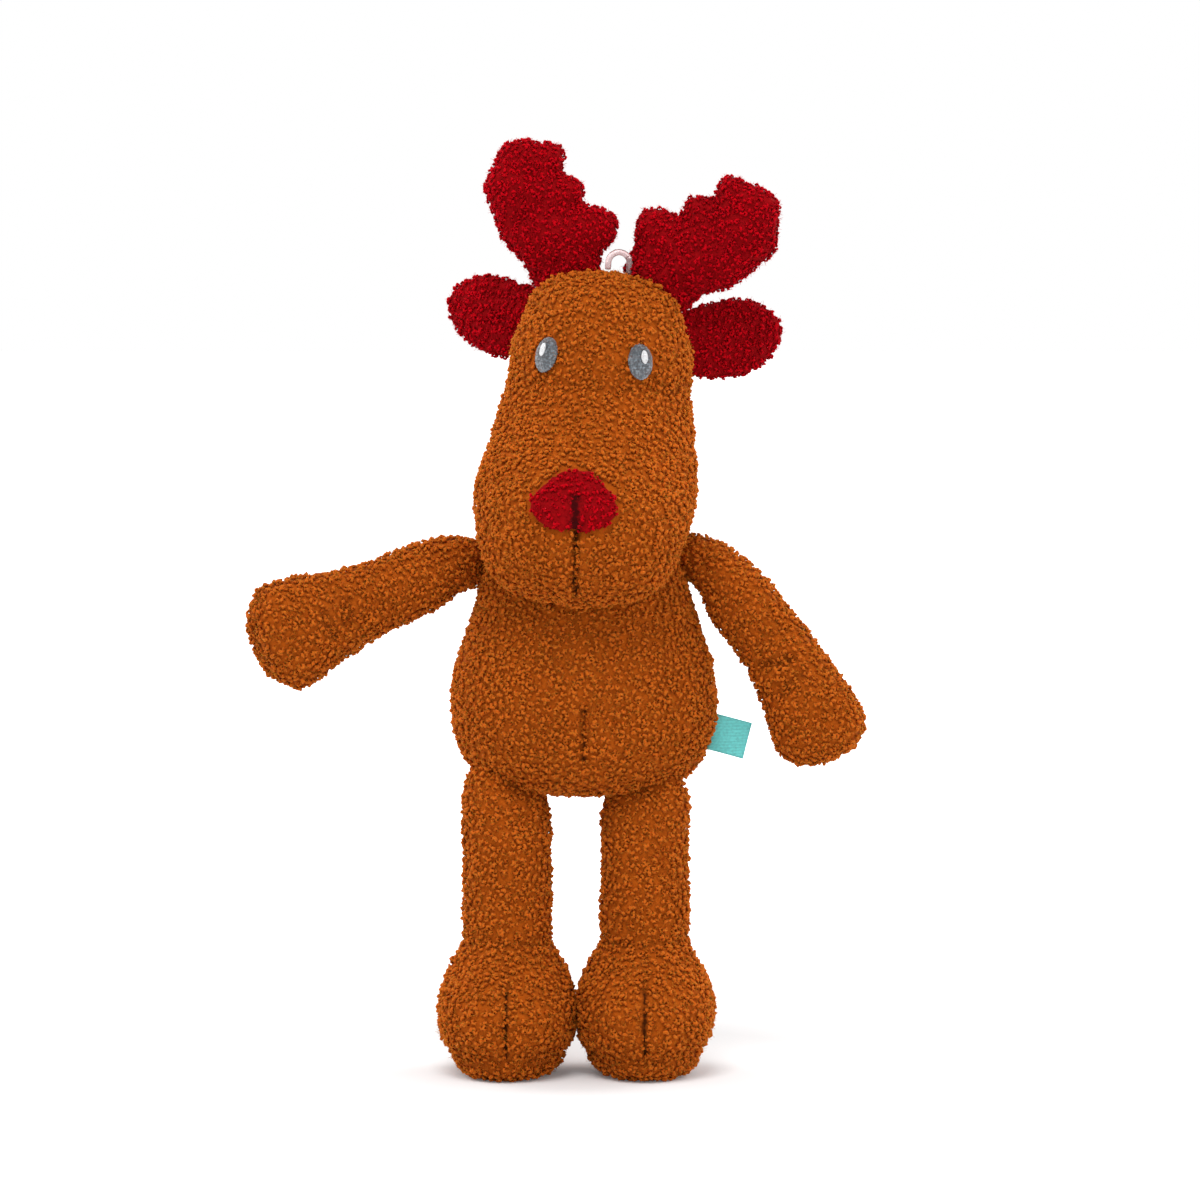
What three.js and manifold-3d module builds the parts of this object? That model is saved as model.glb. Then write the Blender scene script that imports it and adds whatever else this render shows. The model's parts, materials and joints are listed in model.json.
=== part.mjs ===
// A soft standing deer, sewn from curly-pile fabric over loose stuffing.
// Millimetres, +Z up. The toy faces -Y, and its own left side is +X.

import * as THREE from 'three';
import { mergeVertices } from 'three/addons/utils/BufferGeometryUtils.js';
import Module from 'manifold-3d';

const wasm = await Module();
wasm.setup();

const { degToRad } = THREE.MathUtils;

// Fabric, seams and clearances
const coverThickness = 2;
const antlerCoverThickness = 1.6;
const gap = 0.3;
const swingGap = 0.5;
const standFlat = 0.5;

// Body
const bodyHeight = 119;
const bodyWidth = 111;
const bodyDepth = 89;

// Head
const headHeight = 134.2;
const headWidth = 90;
const muzzleReach = 68.5;
const headBackReach = 37.5;
const headTurnedAside = -6.5;
const headLean = 4;
const headShift = 1.4;
const chinDrop = 15.2;

// Nose and eyes
const noseWidth = 36.5;
const noseHeight = 26;
const noseRise = 3;
const eyeWidth = 9.4;
const eyeHeight = 14.4;
const eyeSpacing = 38;
const eyeRise = 1;
const eyeLean = 11;
const glintWidth = 2.4;
const glintHeight = 5.4;
const glintRise = 0.6;

// Arms: how far each hangs below level, bends at the wrist and comes forward
const armLength = 97.5;
const armHeight = 31.5;
const armDepth = 27;
const shoulderReach = 9;
const shoulderForward = 3;
const armPoses = {
  right: { droop: 17, wristBend: 3, forward: 28, handHeight: 51 },
  left: { droop: 41, wristBend: 31, forward: 17, handHeight: 44 },
};

// Legs and feet
const hipHeight = 107.5;
const hipSpread = 27.8;
const hipReach = 8;
const standShift = -3.2;
const legWidth = 37.8;
const legDepth = 35;
const legSetBack = 14;
const footWidth = 57.5;
const footLength = 71;
const footHeight = 54;
const soleHeight = 9;

// Ears
const earLength = 40;
const earHeight = 36;
const earThickness = 10;
const earRaises = { right: 9, left: 12 };
const earReach = 4;
const earSweeps = { right: 31, left: 29 };

// Antlers: how far each leans outward
const antlerHeight = 60.5;
const antlerThickness = 19;
const antlerSpacing = 35;
const crownShift = 2.5;
const antlerReach = 7;
const antlerSplays = { right: 22.5, left: 43.5 };

// Side label and hanging loop
const labelLength = 14;
const labelHeight = 15;
const labelThickness = 1;
const loopAside = 4.4;
const loopWidth = 10.5;
const loopRise = 9;
const loopCord = 1.8;

// How far each piece turns from rest, in degrees
const ranges = {
  headTurn: [-20, 20],
  rightArm: [-40, 50],
  leftArm: [-82, 8],
  leg: [-15, 75],
  ear: [-25, 25],
  antler: [-20, 20],
  label: [-30, 60],
  loop: [-50, 50],
};
const reliefStep = 15;

// Mesh fineness
const largeSegments = 18;
const largeLiningSegments = 12;
const limbSegments = 12;
const limbLiningSegments = 8;
const antlerSegments = 8;
const antlerLiningSegments = 6;
const earSegments = 10;
const cordSegments = 6;
const noseOutlinePoints = 16;
const eyeOutlinePoints = 12;

// Cutting tools reach past everything that they cut
const cutterReach = 4 * (bodyHeight + headHeight);

const xAxis = new THREE.Vector3(1, 0, 0);
const yAxis = new THREE.Vector3(0, 1, 0);
const zAxis = new THREE.Vector3(0, 0, 1);
const sides = { right: -1, left: 1 };

// Finishes

const brownPile = () => new THREE.MeshStandardMaterial({ color: 0x9c4f16, roughness: 0.95 });
const crimsonPile = () => new THREE.MeshStandardMaterial({ color: 0x8c0410, roughness: 0.95 });
const filling = () => new THREE.MeshStandardMaterial({ color: 0xeeeae2, roughness: 1 });
const greyThread = () => new THREE.MeshStandardMaterial({ color: 0x6f6862, roughness: 0.7 });
const whiteThread = () => new THREE.MeshStandardMaterial({ color: 0xf2f0ee, roughness: 0.6 });
const tealTape = () => new THREE.MeshStandardMaterial({ color: 0x57bdbb, roughness: 0.75 });
const clearCord = () => new THREE.MeshStandardMaterial({
  color: 0xe2cccc, roughness: 0.2, transparent: true, opacity: 0.6,
});

// Solids

function solidOf(geometry) {
  const bare = geometry.clone();
  bare.deleteAttribute('normal');
  bare.deleteAttribute('uv');
  const merged = mergeVertices(bare);
  return new wasm.Manifold(new wasm.Mesh({
    numProp: 3,
    vertProperties: new Float32Array(merged.attributes.position.array),
    triVerts: new Uint32Array(merged.index.array),
  }));
}

function geometryOf(solid) {
  const { vertProperties, triVerts } = solid.getMesh();
  const geometry = new THREE.BufferGeometry();
  geometry.setAttribute('position', new THREE.BufferAttribute(new Float32Array(vertProperties), 3));
  geometry.setIndex(new THREE.BufferAttribute(new Uint32Array(triVerts), 1));
  geometry.computeVertexNormals();
  return geometry;
}

function moved(solid, matrix) {
  return solid.transform(matrix.elements);
}

// Cuts can leave crumbs, so a piece is the largest body of what is left
function largest(solid) {
  return solid.decompose().reduce((best, body) => (body.volume() > best.volume() ? body : best));
}

// Everything on the side of a plane that its normal points to
function beyond(point, normal) {
  const block = new THREE.BoxGeometry(cutterReach, cutterReach, cutterReach);
  block.translate(0, 0, cutterReach / 2);
  const turn = new THREE.Quaternion().setFromUnitVectors(zAxis, normal.clone().normalize());
  block.applyQuaternion(turn);
  block.translate(point.x, point.y, point.z);
  return solidOf(block);
}

// The two sides of a sewn seam, half a gap away from its plane each
function splitAt(solid, point, normal) {
  const halfGap = normal.clone().normalize().multiplyScalar(gap / 2);
  const before = solid.subtract(beyond(point.clone().sub(halfGap), normal));
  const after = solid.intersect(beyond(point.clone().add(halfGap), normal));
  return [before, after];
}

// A closed skin over a start point, rings of { centre, u, w } and an end point, with u x w along the way
function loft(start, rings, end, segments) {
  const points = [start];
  for (const { centre, u, w } of rings) {
    for (let k = 0; k < segments; k += 1) {
      const turn = (2 * Math.PI * k) / segments;
      points.push(centre.clone().addScaledVector(u, Math.cos(turn)).addScaledVector(w, Math.sin(turn)));
    }
  }
  points.push(end);
  const at = (ring, k) => 1 + ring * segments + (k % segments);
  const last = points.length - 1;
  const index = [];
  for (let k = 0; k < segments; k += 1) {
    index.push(0, at(0, k + 1), at(0, k));
    index.push(last, at(rings.length - 1, k), at(rings.length - 1, k + 1));
    for (let ring = 0; ring < rings.length - 1; ring += 1) {
      index.push(at(ring, k), at(ring, k + 1), at(ring + 1, k + 1));
      index.push(at(ring, k), at(ring + 1, k + 1), at(ring + 1, k));
    }
  }
  const geometry = new THREE.BufferGeometry().setFromPoints(points);
  geometry.setIndex(index);
  geometry.computeVertexNormals();
  return geometry;
}

// A form swollen, or drawn in, by one distance all over
function grown(form, distance) {
  const swollen = form.clone();
  const { position, normal } = swollen.attributes;
  for (let k = 0; k < position.count; k += 1) {
    position.setXYZ(
      k,
      position.getX(k) + normal.getX(k) * distance,
      position.getY(k) + normal.getY(k) * distance,
      position.getZ(k) + normal.getZ(k) * distance,
    );
  }
  return swollen;
}

// Rings square to a path, wide along its bending plane and deep along the given direction
function ringsAlong(stations, deepWay) {
  return stations.map(({ centre, halfWidth, halfDepth }, k) => {
    const before = stations[Math.max(k - 1, 0)].centre;
    const after = stations[Math.min(k + 1, stations.length - 1)].centre;
    const along = after.clone().sub(before).normalize();
    const w = deepWay.clone().addScaledVector(along, -deepWay.dot(along)).normalize();
    const u = w.clone().cross(along);
    return { centre, u: u.multiplyScalar(halfWidth), w: w.multiplyScalar(halfDepth) };
  });
}

// Where a straight line from inside a form comes out of it
function surfacePoint(form, from, direction) {
  const skin = new THREE.Mesh(form, new THREE.MeshBasicMaterial({ side: THREE.DoubleSide }));
  const line = new THREE.Raycaster(from, direction.clone().normalize());
  return line.intersectObject(skin)[0].point;
}

// What is left of a piece once its carrier, swept through the joint's range, is cut away
function relieved(piece, carrier, { pivot, axis, range }) {
  const [low, high] = range;
  const steps = Math.ceil((high - low) / reliefStep);
  let rest = piece;
  for (let k = 0; k <= steps; k += 1) {
    const angle = degToRad(low + ((high - low) * k) / steps);
    const turn = new THREE.Matrix4().makeTranslation(pivot)
      .multiply(new THREE.Matrix4().makeRotationAxis(axis, -angle))
      .multiply(new THREE.Matrix4().makeTranslation(pivot.clone().negate()));
    rest = rest.subtract(moved(carrier, turn));
  }
  return largest(rest);
}

// A sewn piece: its cover as one hollow skin, and the stuffing inside it. The cut gives what its
// neighbours leave at a distance from them.
function sewn(form, lining, thickness, cut) {
  const outside = cut(solidOf(form), swingGap);
  const inside = cut(solidOf(grown(lining, -thickness)), swingGap + thickness);
  const stuffing = cut(solidOf(grown(lining, -thickness - gap)), swingGap + thickness + gap);
  return { cover: outside.subtract(inside), stuffing };
}

// The body: rings of [height, width, depth] shares, from the bottom up

const bodyShares = [
  [0.013, 0.48, 0.5], [0.05, 0.765, 0.755], [0.12, 0.907, 0.9], [0.235, 0.989, 0.989],
  [0.34, 1, 1], [0.45, 0.968, 0.975], [0.555, 0.885, 0.935], [0.67, 0.809, 0.925],
  [0.765, 0.755, 0.935], [0.9, 0.597, 0.745],
];

function bodySkin(segments) {
  const rings = bodyShares.map(([height, width, depth]) => ({
    centre: new THREE.Vector3(0, 0, height * bodyHeight),
    u: xAxis.clone().multiplyScalar((width * bodyWidth) / 2),
    w: yAxis.clone().multiplyScalar((depth * bodyDepth) / 2),
  }));
  return loft(new THREE.Vector3(), rings, new THREE.Vector3(0, 0, bodyHeight), segments);
}

// The underside reaches a little below the top of the hips
const overHip = new THREE.Vector3(hipSpread, -legSetBack, bodyHeight / 2);
const overHipSkin = surfacePoint(bodySkin(largeSegments), overHip, zAxis.clone().negate());
const bodyBase = hipHeight + hipReach - overHipSkin.z;
const bodyForm = (segments) => bodySkin(segments).translate(0, 0, bodyBase);

const body = bodyForm(largeSegments);
const bodySewn = sewn(body, bodyForm(largeLiningSegments), coverThickness, (solid) => solid);
const bodyAt = (share) => new THREE.Vector3(0, 0, bodyBase + share * bodyHeight);
const bodyMiddle = bodyAt(0.5);

// The head: rings of [front reach, front height, back reach, back height, width] shares, chin to crown

const headShares = [
  [0.745, 0.03, -0.72, 0.068, 0.6], [0.876, 0.075, -0.347, 0.158, 0.822],
  [0.964, 0.143, 0.027, 0.233, 0.911], [1, 0.226, 0.347, 0.293, 0.967],
  [0.978, 0.316, 0.64, 0.361, 1], [0.876, 0.406, 0.827, 0.429, 0.962],
  [0.715, 0.489, 0.933, 0.519, 0.911], [0.575, 0.6, 1, 0.62, 0.858],
  [0.51, 0.76, 0.96, 0.765, 0.82], [0.409, 0.91, 0.773, 0.917, 0.667],
  [0.263, 0.97, 0.533, 0.974, 0.489],
];
const chinReachShare = 0.599;
const neckShare = 0.79;

const neck = {
  pivot: bodyAt(neckShare),
  axis: zAxis,
  range: ranges.headTurn,
};
const headFrame = new THREE.Group();
headFrame.position.copy(neck.pivot);
headFrame.rotation.set(0, degToRad(headLean), degToRad(headTurnedAside), 'ZYX');
headFrame.updateMatrixWorld(true);

// A place on the head, by its distance aside, back and above the chin
function onHead(aside, back, aboveChin) {
  return new THREE.Vector3(headShift + aside, back, aboveChin - chinDrop).applyMatrix4(headFrame.matrixWorld);
}

function headWay(x, y, z) {
  return new THREE.Vector3(x, y, z).transformDirection(headFrame.matrixWorld);
}

function headForm(segments) {
  const rings = headShares.map(([front, frontHeight, back, backHeight, width]) => {
    const foremost = onHead(0, -front * muzzleReach, frontHeight * headHeight);
    const rearmost = onHead(0, back * headBackReach, backHeight * headHeight);
    return {
      centre: foremost.clone().add(rearmost).divideScalar(2),
      u: headWay(1, 0, 0).multiplyScalar((width * headWidth) / 2),
      w: rearmost.clone().sub(foremost).divideScalar(2),
    };
  });
  const chin = onHead(0, -chinReachShare * muzzleReach, 0);
  return loft(chin, rings, onHead(0, 0, headHeight), segments);
}

// The body is round at the neck, so the head turns on it clear of a body whose flats reach that round
function bodyAsTurned(clearance) {
  const flatsOut = 1 / Math.cos(Math.PI / largeSegments);
  return solidOf(grown(body, clearance).scale(flatsOut, flatsOut, 1));
}

const head = headForm(largeSegments);
const headSewn = sewn(head, headForm(largeLiningSegments), coverThickness, (solid, clearance) => (
  largest(solid.subtract(bodyAsTurned(clearance)))
));

// Patches that follow the head's surface, between two heights over it

function patchOnHead(outline, centre, leanAngle, from, to) {
  const prism = new THREE.ExtrudeGeometry(outline, {
    depth: muzzleReach + headBackReach, bevelEnabled: false,
  });
  prism.rotateX(Math.PI / 2);
  prism.rotateY(degToRad(leanAngle));
  prism.applyQuaternion(headFrame.quaternion);
  prism.translate(centre.x, centre.y, centre.z);
  const skin = solidOf(grown(head, to)).subtract(solidOf(grown(head, from)));
  return largest(skin.intersect(solidOf(prism)));
}

function oval(width, height) {
  const outline = new THREE.Shape();
  outline.absellipse(0, 0, width / 2, height / 2, 0, 2 * Math.PI);
  return new THREE.Shape(outline.getPoints(eyeOutlinePoints).slice(1));
}

// The right half of the nose's outline, from its top to its foot
const noseShares = [
  [0, 0.5], [0.17, 0.47], [0.31, 0.3], [0.44, 0.12], [0.5, -0.09], [0.42, -0.31], [0.2, -0.47], [0, -0.44],
];
const noseHeightShare = 0.33;
const eyeHeightShare = 0.743;
const glintAsideShare = 0.17;
const glintAboveShare = 0.14;

function noseOutline() {
  const half = noseShares.map(([x, z]) => new THREE.Vector2(x * noseWidth, z * noseHeight));
  const other = half.slice(1, -1).reverse().map(({ x, y }) => new THREE.Vector2(-x, y));
  const curve = new THREE.SplineCurve([...half, ...other, half[0]]);
  return new THREE.Shape(curve.getPoints(noseOutlinePoints).slice(1));
}

const nosePatch = patchOnHead(noseOutline(), onHead(0, 0, noseHeightShare * headHeight), 0, gap, noseRise);

function eyeOf(side) {
  const lean = -sides[side] * eyeLean;
  const centre = onHead((sides[side] * eyeSpacing) / 2, 0, eyeHeightShare * headHeight);
  const glintCentre = centre.clone()
    .addScaledVector(headWay(1, 0, 0), sides[side] * glintAsideShare * eyeWidth)
    .addScaledVector(headWay(0, 0, 1), glintAboveShare * eyeHeight);
  const glintFoot = eyeRise + gap;
  return {
    eye: patchOnHead(oval(eyeWidth, eyeHeight), centre, lean, gap, eyeRise),
    glint: patchOnHead(oval(glintWidth, glintHeight), glintCentre, lean, glintFoot, glintFoot + glintRise),
  };
}

// The arms: rings of [along, arm size, hand size] shares from the shoulder to the hand's end

const armShares = [
  [-0.06, 0.6, 0], [0, 0.92, 0], [0.15, 1.02, 0], [0.4, 1.02, 0], [0.6, 1, 0.4],
  [0.75, 1, 0.8], [0.88, 1, 0.9], [0.965, 0.74, 0.45],
];
const handDepthShare = 0.35;
const shoulderShares = { right: 0.66, left: 0.64 };
const shoulderTiltShare = 0.3;

// The turn about the toy's Y axis raises the right arm and lowers the left one
function shoulderOf(side) {
  const out = sides[side];
  const inside = bodyAt(shoulderShares[side]).setY(-shoulderForward);
  const outward = new THREE.Vector3(out, 0, shoulderTiltShare).normalize();
  const seam = surfacePoint(body, inside, outward);
  return {
    pivot: seam.addScaledVector(outward, shoulderReach),
    axis: yAxis,
    range: side === 'right' ? ranges.rightArm : ranges.leftArm,
  };
}

function armForm(side, shoulder, segments) {
  const { droop, wristBend, forward, handHeight } = armPoses[side];
  const way = (angle) => {
    const level = Math.cos(degToRad(angle));
    return new THREE.Vector3(
      sides[side] * level * Math.cos(degToRad(forward)),
      -level * Math.sin(degToRad(forward)),
      -Math.sin(degToRad(angle)),
    );
  };
  const bend = shoulder.pivot.clone().addScaledVector(way(droop), armLength / 2);
  const end = bend.clone().addScaledVector(way(droop + wristBend), armLength / 2);
  const path = new THREE.QuadraticBezierCurve3(shoulder.pivot, bend, end);
  const stations = armShares.map(([along, arm, hand]) => {
    const spare = Math.min(along, 0) * armLength;
    const size = arm + (hand * (handHeight - armHeight)) / armHeight;
    const deepSize = arm + (handDepthShare * hand * (handHeight - armHeight)) / armHeight;
    return {
      centre: path.getPoint(Math.max(along, 0)).addScaledVector(way(droop), spare),
      halfWidth: (size * armHeight) / 2,
      halfDepth: (deepSize * armDepth) / 2,
    };
  });
  const start = shoulder.pivot.clone().addScaledVector(way(droop), gap - shoulderReach);
  return loft(start, ringsAlong(stations, backOfArm(side)), end, segments);
}

// The head as far round as it comes to one shoulder
function headTurnedTo(side, clearance) {
  const [low, high] = ranges.headTurn;
  const turn = new THREE.Matrix4().makeRotationZ(degToRad(side === 'right' ? low : high));
  return moved(solidOf(grown(head, clearance)), turn);
}

function backOfArm(side) {
  const forward = degToRad(armPoses[side].forward);
  return new THREE.Vector3(sides[side] * Math.sin(forward), Math.cos(forward), 0);
}

function armOf(side) {
  const shoulder = shoulderOf(side);
  const [low, high] = shoulder.range;
  const lowered = { ...shoulder, range: side === 'right' ? [low, 0] : [0, high] };
  const parts = sewn(
    armForm(side, shoulder, limbSegments),
    armForm(side, shoulder, limbLiningSegments),
    coverThickness,
    (solid, clearance) => {
      const clearOfBody = relieved(solid, solidOf(grown(body, clearance)), shoulder);
      return relieved(clearOfBody, headTurnedTo(side, clearance), lowered);
    },
  );
  const [front, back] = splitAt(parts.cover, shoulder.pivot, backOfArm(side));
  return { shoulder, front, back, stuffing: parts.stuffing };
}

// The legs: rings of [height, width, length, centre] shares from the sole up, for the foot and the shin

const footShares = [
  [0.004, 0.66, 0.8, 0.265], [0.1, 0.83, 0.9, 0.275], [0.3, 0.97, 0.99, 0.29],
  [0.52, 1, 1, 0.285], [0.7, 0.915, 0.885, 0.25], [0.87, 0.78, 0.69, 0.21],
];
const shinShares = [[0, 1.01, 1.06], [0.6, 0.98, 0.98], [1.06, 1, 1], [1.3, 0.8, 0.8]];
const shinTopShare = 1.42;

// A turn about the toy's negative X axis swings a leg forward
function hipOf(side) {
  return {
    pivot: new THREE.Vector3(standShift + sides[side] * hipSpread, -legSetBack, hipHeight),
    axis: xAxis.clone().negate(),
    range: ranges.leg,
  };
}

function legForm(hip, segments) {
  const shinLength = hipHeight - footHeight;
  const ringAt = (height, width, length, back) => ({
    centre: new THREE.Vector3(hip.pivot.x, back, height),
    u: xAxis.clone().multiplyScalar(width / 2),
    w: yAxis.clone().multiplyScalar(length / 2),
  });
  const foot = footShares.map(([height, width, length, centre]) => (
    ringAt(height * footHeight, width * footWidth, length * footLength, -centre * footLength)
  ));
  const shin = shinShares.map(([height, width, depth]) => (
    ringAt(footHeight + height * shinLength, width * legWidth, depth * legDepth, -legSetBack)
  ));
  const bottom = new THREE.Vector3(hip.pivot.x, foot[0].centre.y, -standFlat);
  const top = new THREE.Vector3(hip.pivot.x, -legSetBack, footHeight + shinTopShare * shinLength);
  return loft(bottom, [...foot, ...shin], top, segments);
}

function legOf(side) {
  const hip = hipOf(side);
  const ownSide = beyond(new THREE.Vector3(standShift + (sides[side] * gap) / 2, 0, 0),
    xAxis.clone().multiplyScalar(sides[side]));
  const floorUp = beyond(new THREE.Vector3(), zAxis);
  const { cover, stuffing } = sewn(
    legForm(hip, limbSegments),
    legForm(hip, limbLiningSegments),
    coverThickness,
    (solid, clearance) => (
      relieved(solid, solidOf(grown(body, clearance)), hip).intersect(floorUp).intersect(ownSide)
    ),
  );
  const [foot, shin] = splitAt(cover, new THREE.Vector3(0, 0, footHeight), zAxis);
  const [sole, upper] = splitAt(foot, new THREE.Vector3(0, 0, soleHeight), zAxis);
  const outward = xAxis.clone().multiplyScalar(sides[side]);
  const [inner, outer] = splitAt(upper, hip.pivot, outward);
  return { hip, shin, sole, inner, outer, stuffing };
}

// The ears: rings of [along, height, thickness] shares from the seam to the tip

const earShares = [
  [-0.12, 0.78, 0.6], [0.1, 0.97, 0.92], [0.4, 1, 1], [0.66, 0.84, 0.96], [0.86, 0.52, 0.76],
];
const earSeatShares = { right: 0.81, left: 0.785 };
const earBackShare = 0.3;

function earOf(side) {
  const out = sides[side];
  const inside = onHead(0, earBackShare * headBackReach, earSeatShares[side] * headHeight);
  const seam = surfacePoint(head, inside, headWay(out, 0, 0));
  const raise = degToRad(earRaises[side]);
  const sweep = degToRad(earSweeps[side]);
  const along = headWay(out * Math.cos(raise) * Math.cos(sweep), Math.cos(raise) * Math.sin(sweep),
    Math.sin(raise));
  const thickWay = headWay(-out * Math.sin(sweep), Math.cos(sweep), 0);
  const pivot = seam.addScaledVector(along, earReach);
  const at = (share) => pivot.clone().addScaledVector(along, share * earLength);
  const stations = earShares.map(([share, height, thickness]) => ({
    centre: at(share),
    halfWidth: (height * earHeight) / 2,
    halfDepth: (thickness * earThickness) / 2,
  }));
  const seamLine = thickWay.clone().cross(along).normalize();
  const flap = { pivot, axis: seamLine, range: ranges.ear };
  const form = loft(at(earShares[0][0]).addScaledVector(along, -gap), ringsAlong(stations, thickWay),
    at(1), earSegments);
  const leaf = relieved(solidOf(form), solidOf(grown(head, gap)), flap);
  const [front, back] = splitAt(leaf, pivot, thickWay);
  return { flap, front, back };
}

// The antlers: lofts of [along, aside, half width, thickness] shares of the antler's height, closed at
// both ends by [along, aside]. Aside is toward the tines, on the antler's inner edge.

const antlerShares = {
  beam: {
    start: [-0.14, 0.02],
    rings: [
      [-0.06, 0.02, 0.19, 0.75], [0.1, 0, 0.25, 0.92], [0.4, -0.1, 0.305, 1], [0.68, -0.13, 0.29, 1],
      [0.88, -0.01, 0.2, 0.78],
    ],
    end: [0.96, 0.03],
  },
  lowTine: {
    start: [0.18, -0.08],
    rings: [[0.215, 0.1, 0.205, 0.86], [0.245, 0.33, 0.16, 0.68]],
    end: [0.255, 0.455],
  },
  middleTine: {
    start: [0.44, -0.12],
    rings: [[0.48, 0.02, 0.155, 0.8], [0.54, 0.215, 0.115, 0.58]],
    end: [0.555, 0.305],
  },
  topTine: {
    start: [0.7, -0.12],
    rings: [[0.745, 0, 0.15, 0.8], [0.8, 0.165, 0.11, 0.58]],
    end: [0.82, 0.245],
  },
};
const antlerSeatShare = 0.08;

function antlerOf(side) {
  const out = sides[side];
  const splay = degToRad(antlerSplays[side]);
  const base = crownShift + (out * antlerSpacing) / 2;
  const inside = onHead(base, antlerSeatShare * headBackReach, headHeight / 2);
  const seam = surfacePoint(head, inside, headWay(0, 0, 1));
  const along = headWay(out * Math.sin(splay), 0, Math.cos(splay));
  const aside = headWay(-out * Math.cos(splay), 0, Math.sin(splay));
  const thickWay = headWay(0, 1, 0);
  const pivot = seam.clone().addScaledVector(along, antlerReach);
  const flop = { pivot, axis: aside, range: ranges.antler };
  const at = ([up, across]) => seam.clone()
    .addScaledVector(along, up * antlerHeight)
    .addScaledVector(aside, across * antlerHeight);
  const lobeForm = ({ start, rings, end }, segments) => {
    const stations = rings.map(([up, across, halfWidth, thickness]) => ({
      centre: at([up, across]),
      halfWidth: halfWidth * antlerHeight,
      halfDepth: (thickness * antlerThickness) / 2,
    }));
    return loft(at(start), ringsAlong(stations, thickWay), at(end), segments);
  };
  const shapeAt = (inset, segments) => {
    const whole = Object.values(antlerShares)
      .map((lobe) => solidOf(grown(lobeForm(lobe, segments), -inset)))
      .reduce((sum, lobe) => sum.add(lobe));
    return relieved(whole, solidOf(grown(head, swingGap + inset)), flop);
  };
  const cover = shapeAt(0, antlerSegments).subtract(shapeAt(antlerCoverThickness, antlerLiningSegments));
  const stuffing = shapeAt(antlerCoverThickness + gap, antlerLiningSegments);
  const [front, back] = splitAt(cover, pivot, thickWay);
  return { flop, front, back, stuffing };
}

// The side label stands out from the left side seam, square to the body's surface there

const labelShare = 0.206;

function labelParts() {
  const lower = surfacePoint(body, bodyAt(labelShare).setZ(bodyAt(labelShare).z - labelHeight / 2), xAxis);
  const upper = surfacePoint(body, bodyAt(labelShare).setZ(bodyAt(labelShare).z + labelHeight / 2), xAxis);
  const seamLine = upper.clone().sub(lower).normalize();
  const outward = yAxis.clone().cross(seamLine).normalize();
  const pivot = lower.clone().add(upper).divideScalar(2).addScaledVector(outward, labelThickness);
  const flap = { pivot, axis: seamLine, range: ranges.label };
  const tape = new THREE.BoxGeometry(labelLength, labelThickness, labelHeight);
  tape.translate(labelLength / 2 - labelThickness, 0, 0);
  tape.applyMatrix4(new THREE.Matrix4().makeBasis(outward, yAxis, seamLine).setPosition(pivot));
  return { flap, tape: relieved(solidOf(tape), solidOf(grown(body, gap)), flap) };
}

// The hanging loop: an arch of cord over the crown

const loopSteps = 8;

function loopParts() {
  const inside = onHead(loopAside, 0, headHeight / 2);
  const seam = surfacePoint(head, inside, headWay(0, 0, 1));
  const up = headWay(0, 0, 1);
  const across = headWay(1, 0, 0);
  const radius = (loopWidth - loopCord) / 2;
  const at = (aside, rise) => seam.clone().addScaledVector(across, aside).addScaledVector(up, rise);
  const shoulder = loopRise - loopCord / 2 - radius;
  const arch = [at(-radius, -loopCord)];
  for (let k = 0; k <= loopSteps; k += 1) {
    const turn = Math.PI * (1 - k / loopSteps);
    arch.push(at(radius * Math.cos(turn), shoulder + radius * Math.sin(turn)));
  }
  arch.push(at(radius, -loopCord));
  const stations = arch.map((centre) => ({ centre, halfWidth: loopCord / 2, halfDepth: loopCord / 2 }));
  const form = loft(arch[0], ringsAlong(stations, headWay(0, 1, 0)), arch[arch.length - 1], cordSegments);
  const fold = { pivot: seam.clone().addScaledVector(up, loopCord / 2), axis: across, range: ranges.loop };
  return { fold, cord: relieved(solidOf(form), solidOf(grown(head, gap)), fold) };
}

// Assembly: each moving body is a group at its pivot

const deer = new THREE.Group();
const torso = new THREE.Group();
deer.add(torso);

function carriedAt(parent, name, { pivot, axis, range }) {
  const frame = new THREE.Group();
  frame.name = name;
  frame.position.copy(parent.worldToLocal(pivot.clone()));
  frame.userData = { axis: axis.toArray(), range };
  parent.add(frame);
  frame.updateMatrixWorld(true);
  return frame;
}

function addPiece(frame, name, solid, material) {
  const geometry = geometryOf(largest(solid));
  geometry.applyMatrix4(frame.matrixWorld.clone().invert());
  const mesh = new THREE.Mesh(geometry, material);
  mesh.name = name;
  frame.add(mesh);
}

const [bodyFront, bodyBack] = splitAt(bodySewn.cover, bodyMiddle, yAxis);
addPiece(torso, 'body_front_cover', bodyFront, brownPile());
addPiece(torso, 'body_back_cover', bodyBack, brownPile());
addPiece(torso, 'body_stuffing', bodySewn.stuffing, filling());

const sideSeamShare = 0.15;
const browSeamShare = 0.663;
torso.add(headFrame);
headFrame.name = 'head';
headFrame.userData = { axis: neck.axis.toArray(), range: neck.range };
headFrame.updateMatrixWorld(true);
const sideSeam = onHead(0, sideSeamShare * headBackReach, 0);
const browSeam = onHead(0, 0, browSeamShare * headHeight);
const [face, headBack] = splitAt(headSewn.cover, sideSeam, headWay(0, 1, 0));
const [muzzle, forehead] = splitAt(face, browSeam, headWay(0, 0, 1));
addPiece(headFrame, 'forehead_cover', forehead, brownPile());
addPiece(headFrame, 'muzzle_cover', muzzle, brownPile());
addPiece(headFrame, 'head_back_cover', headBack, brownPile());
addPiece(headFrame, 'head_stuffing', headSewn.stuffing, filling());
addPiece(headFrame, 'nose_patch', nosePatch, crimsonPile());

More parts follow.
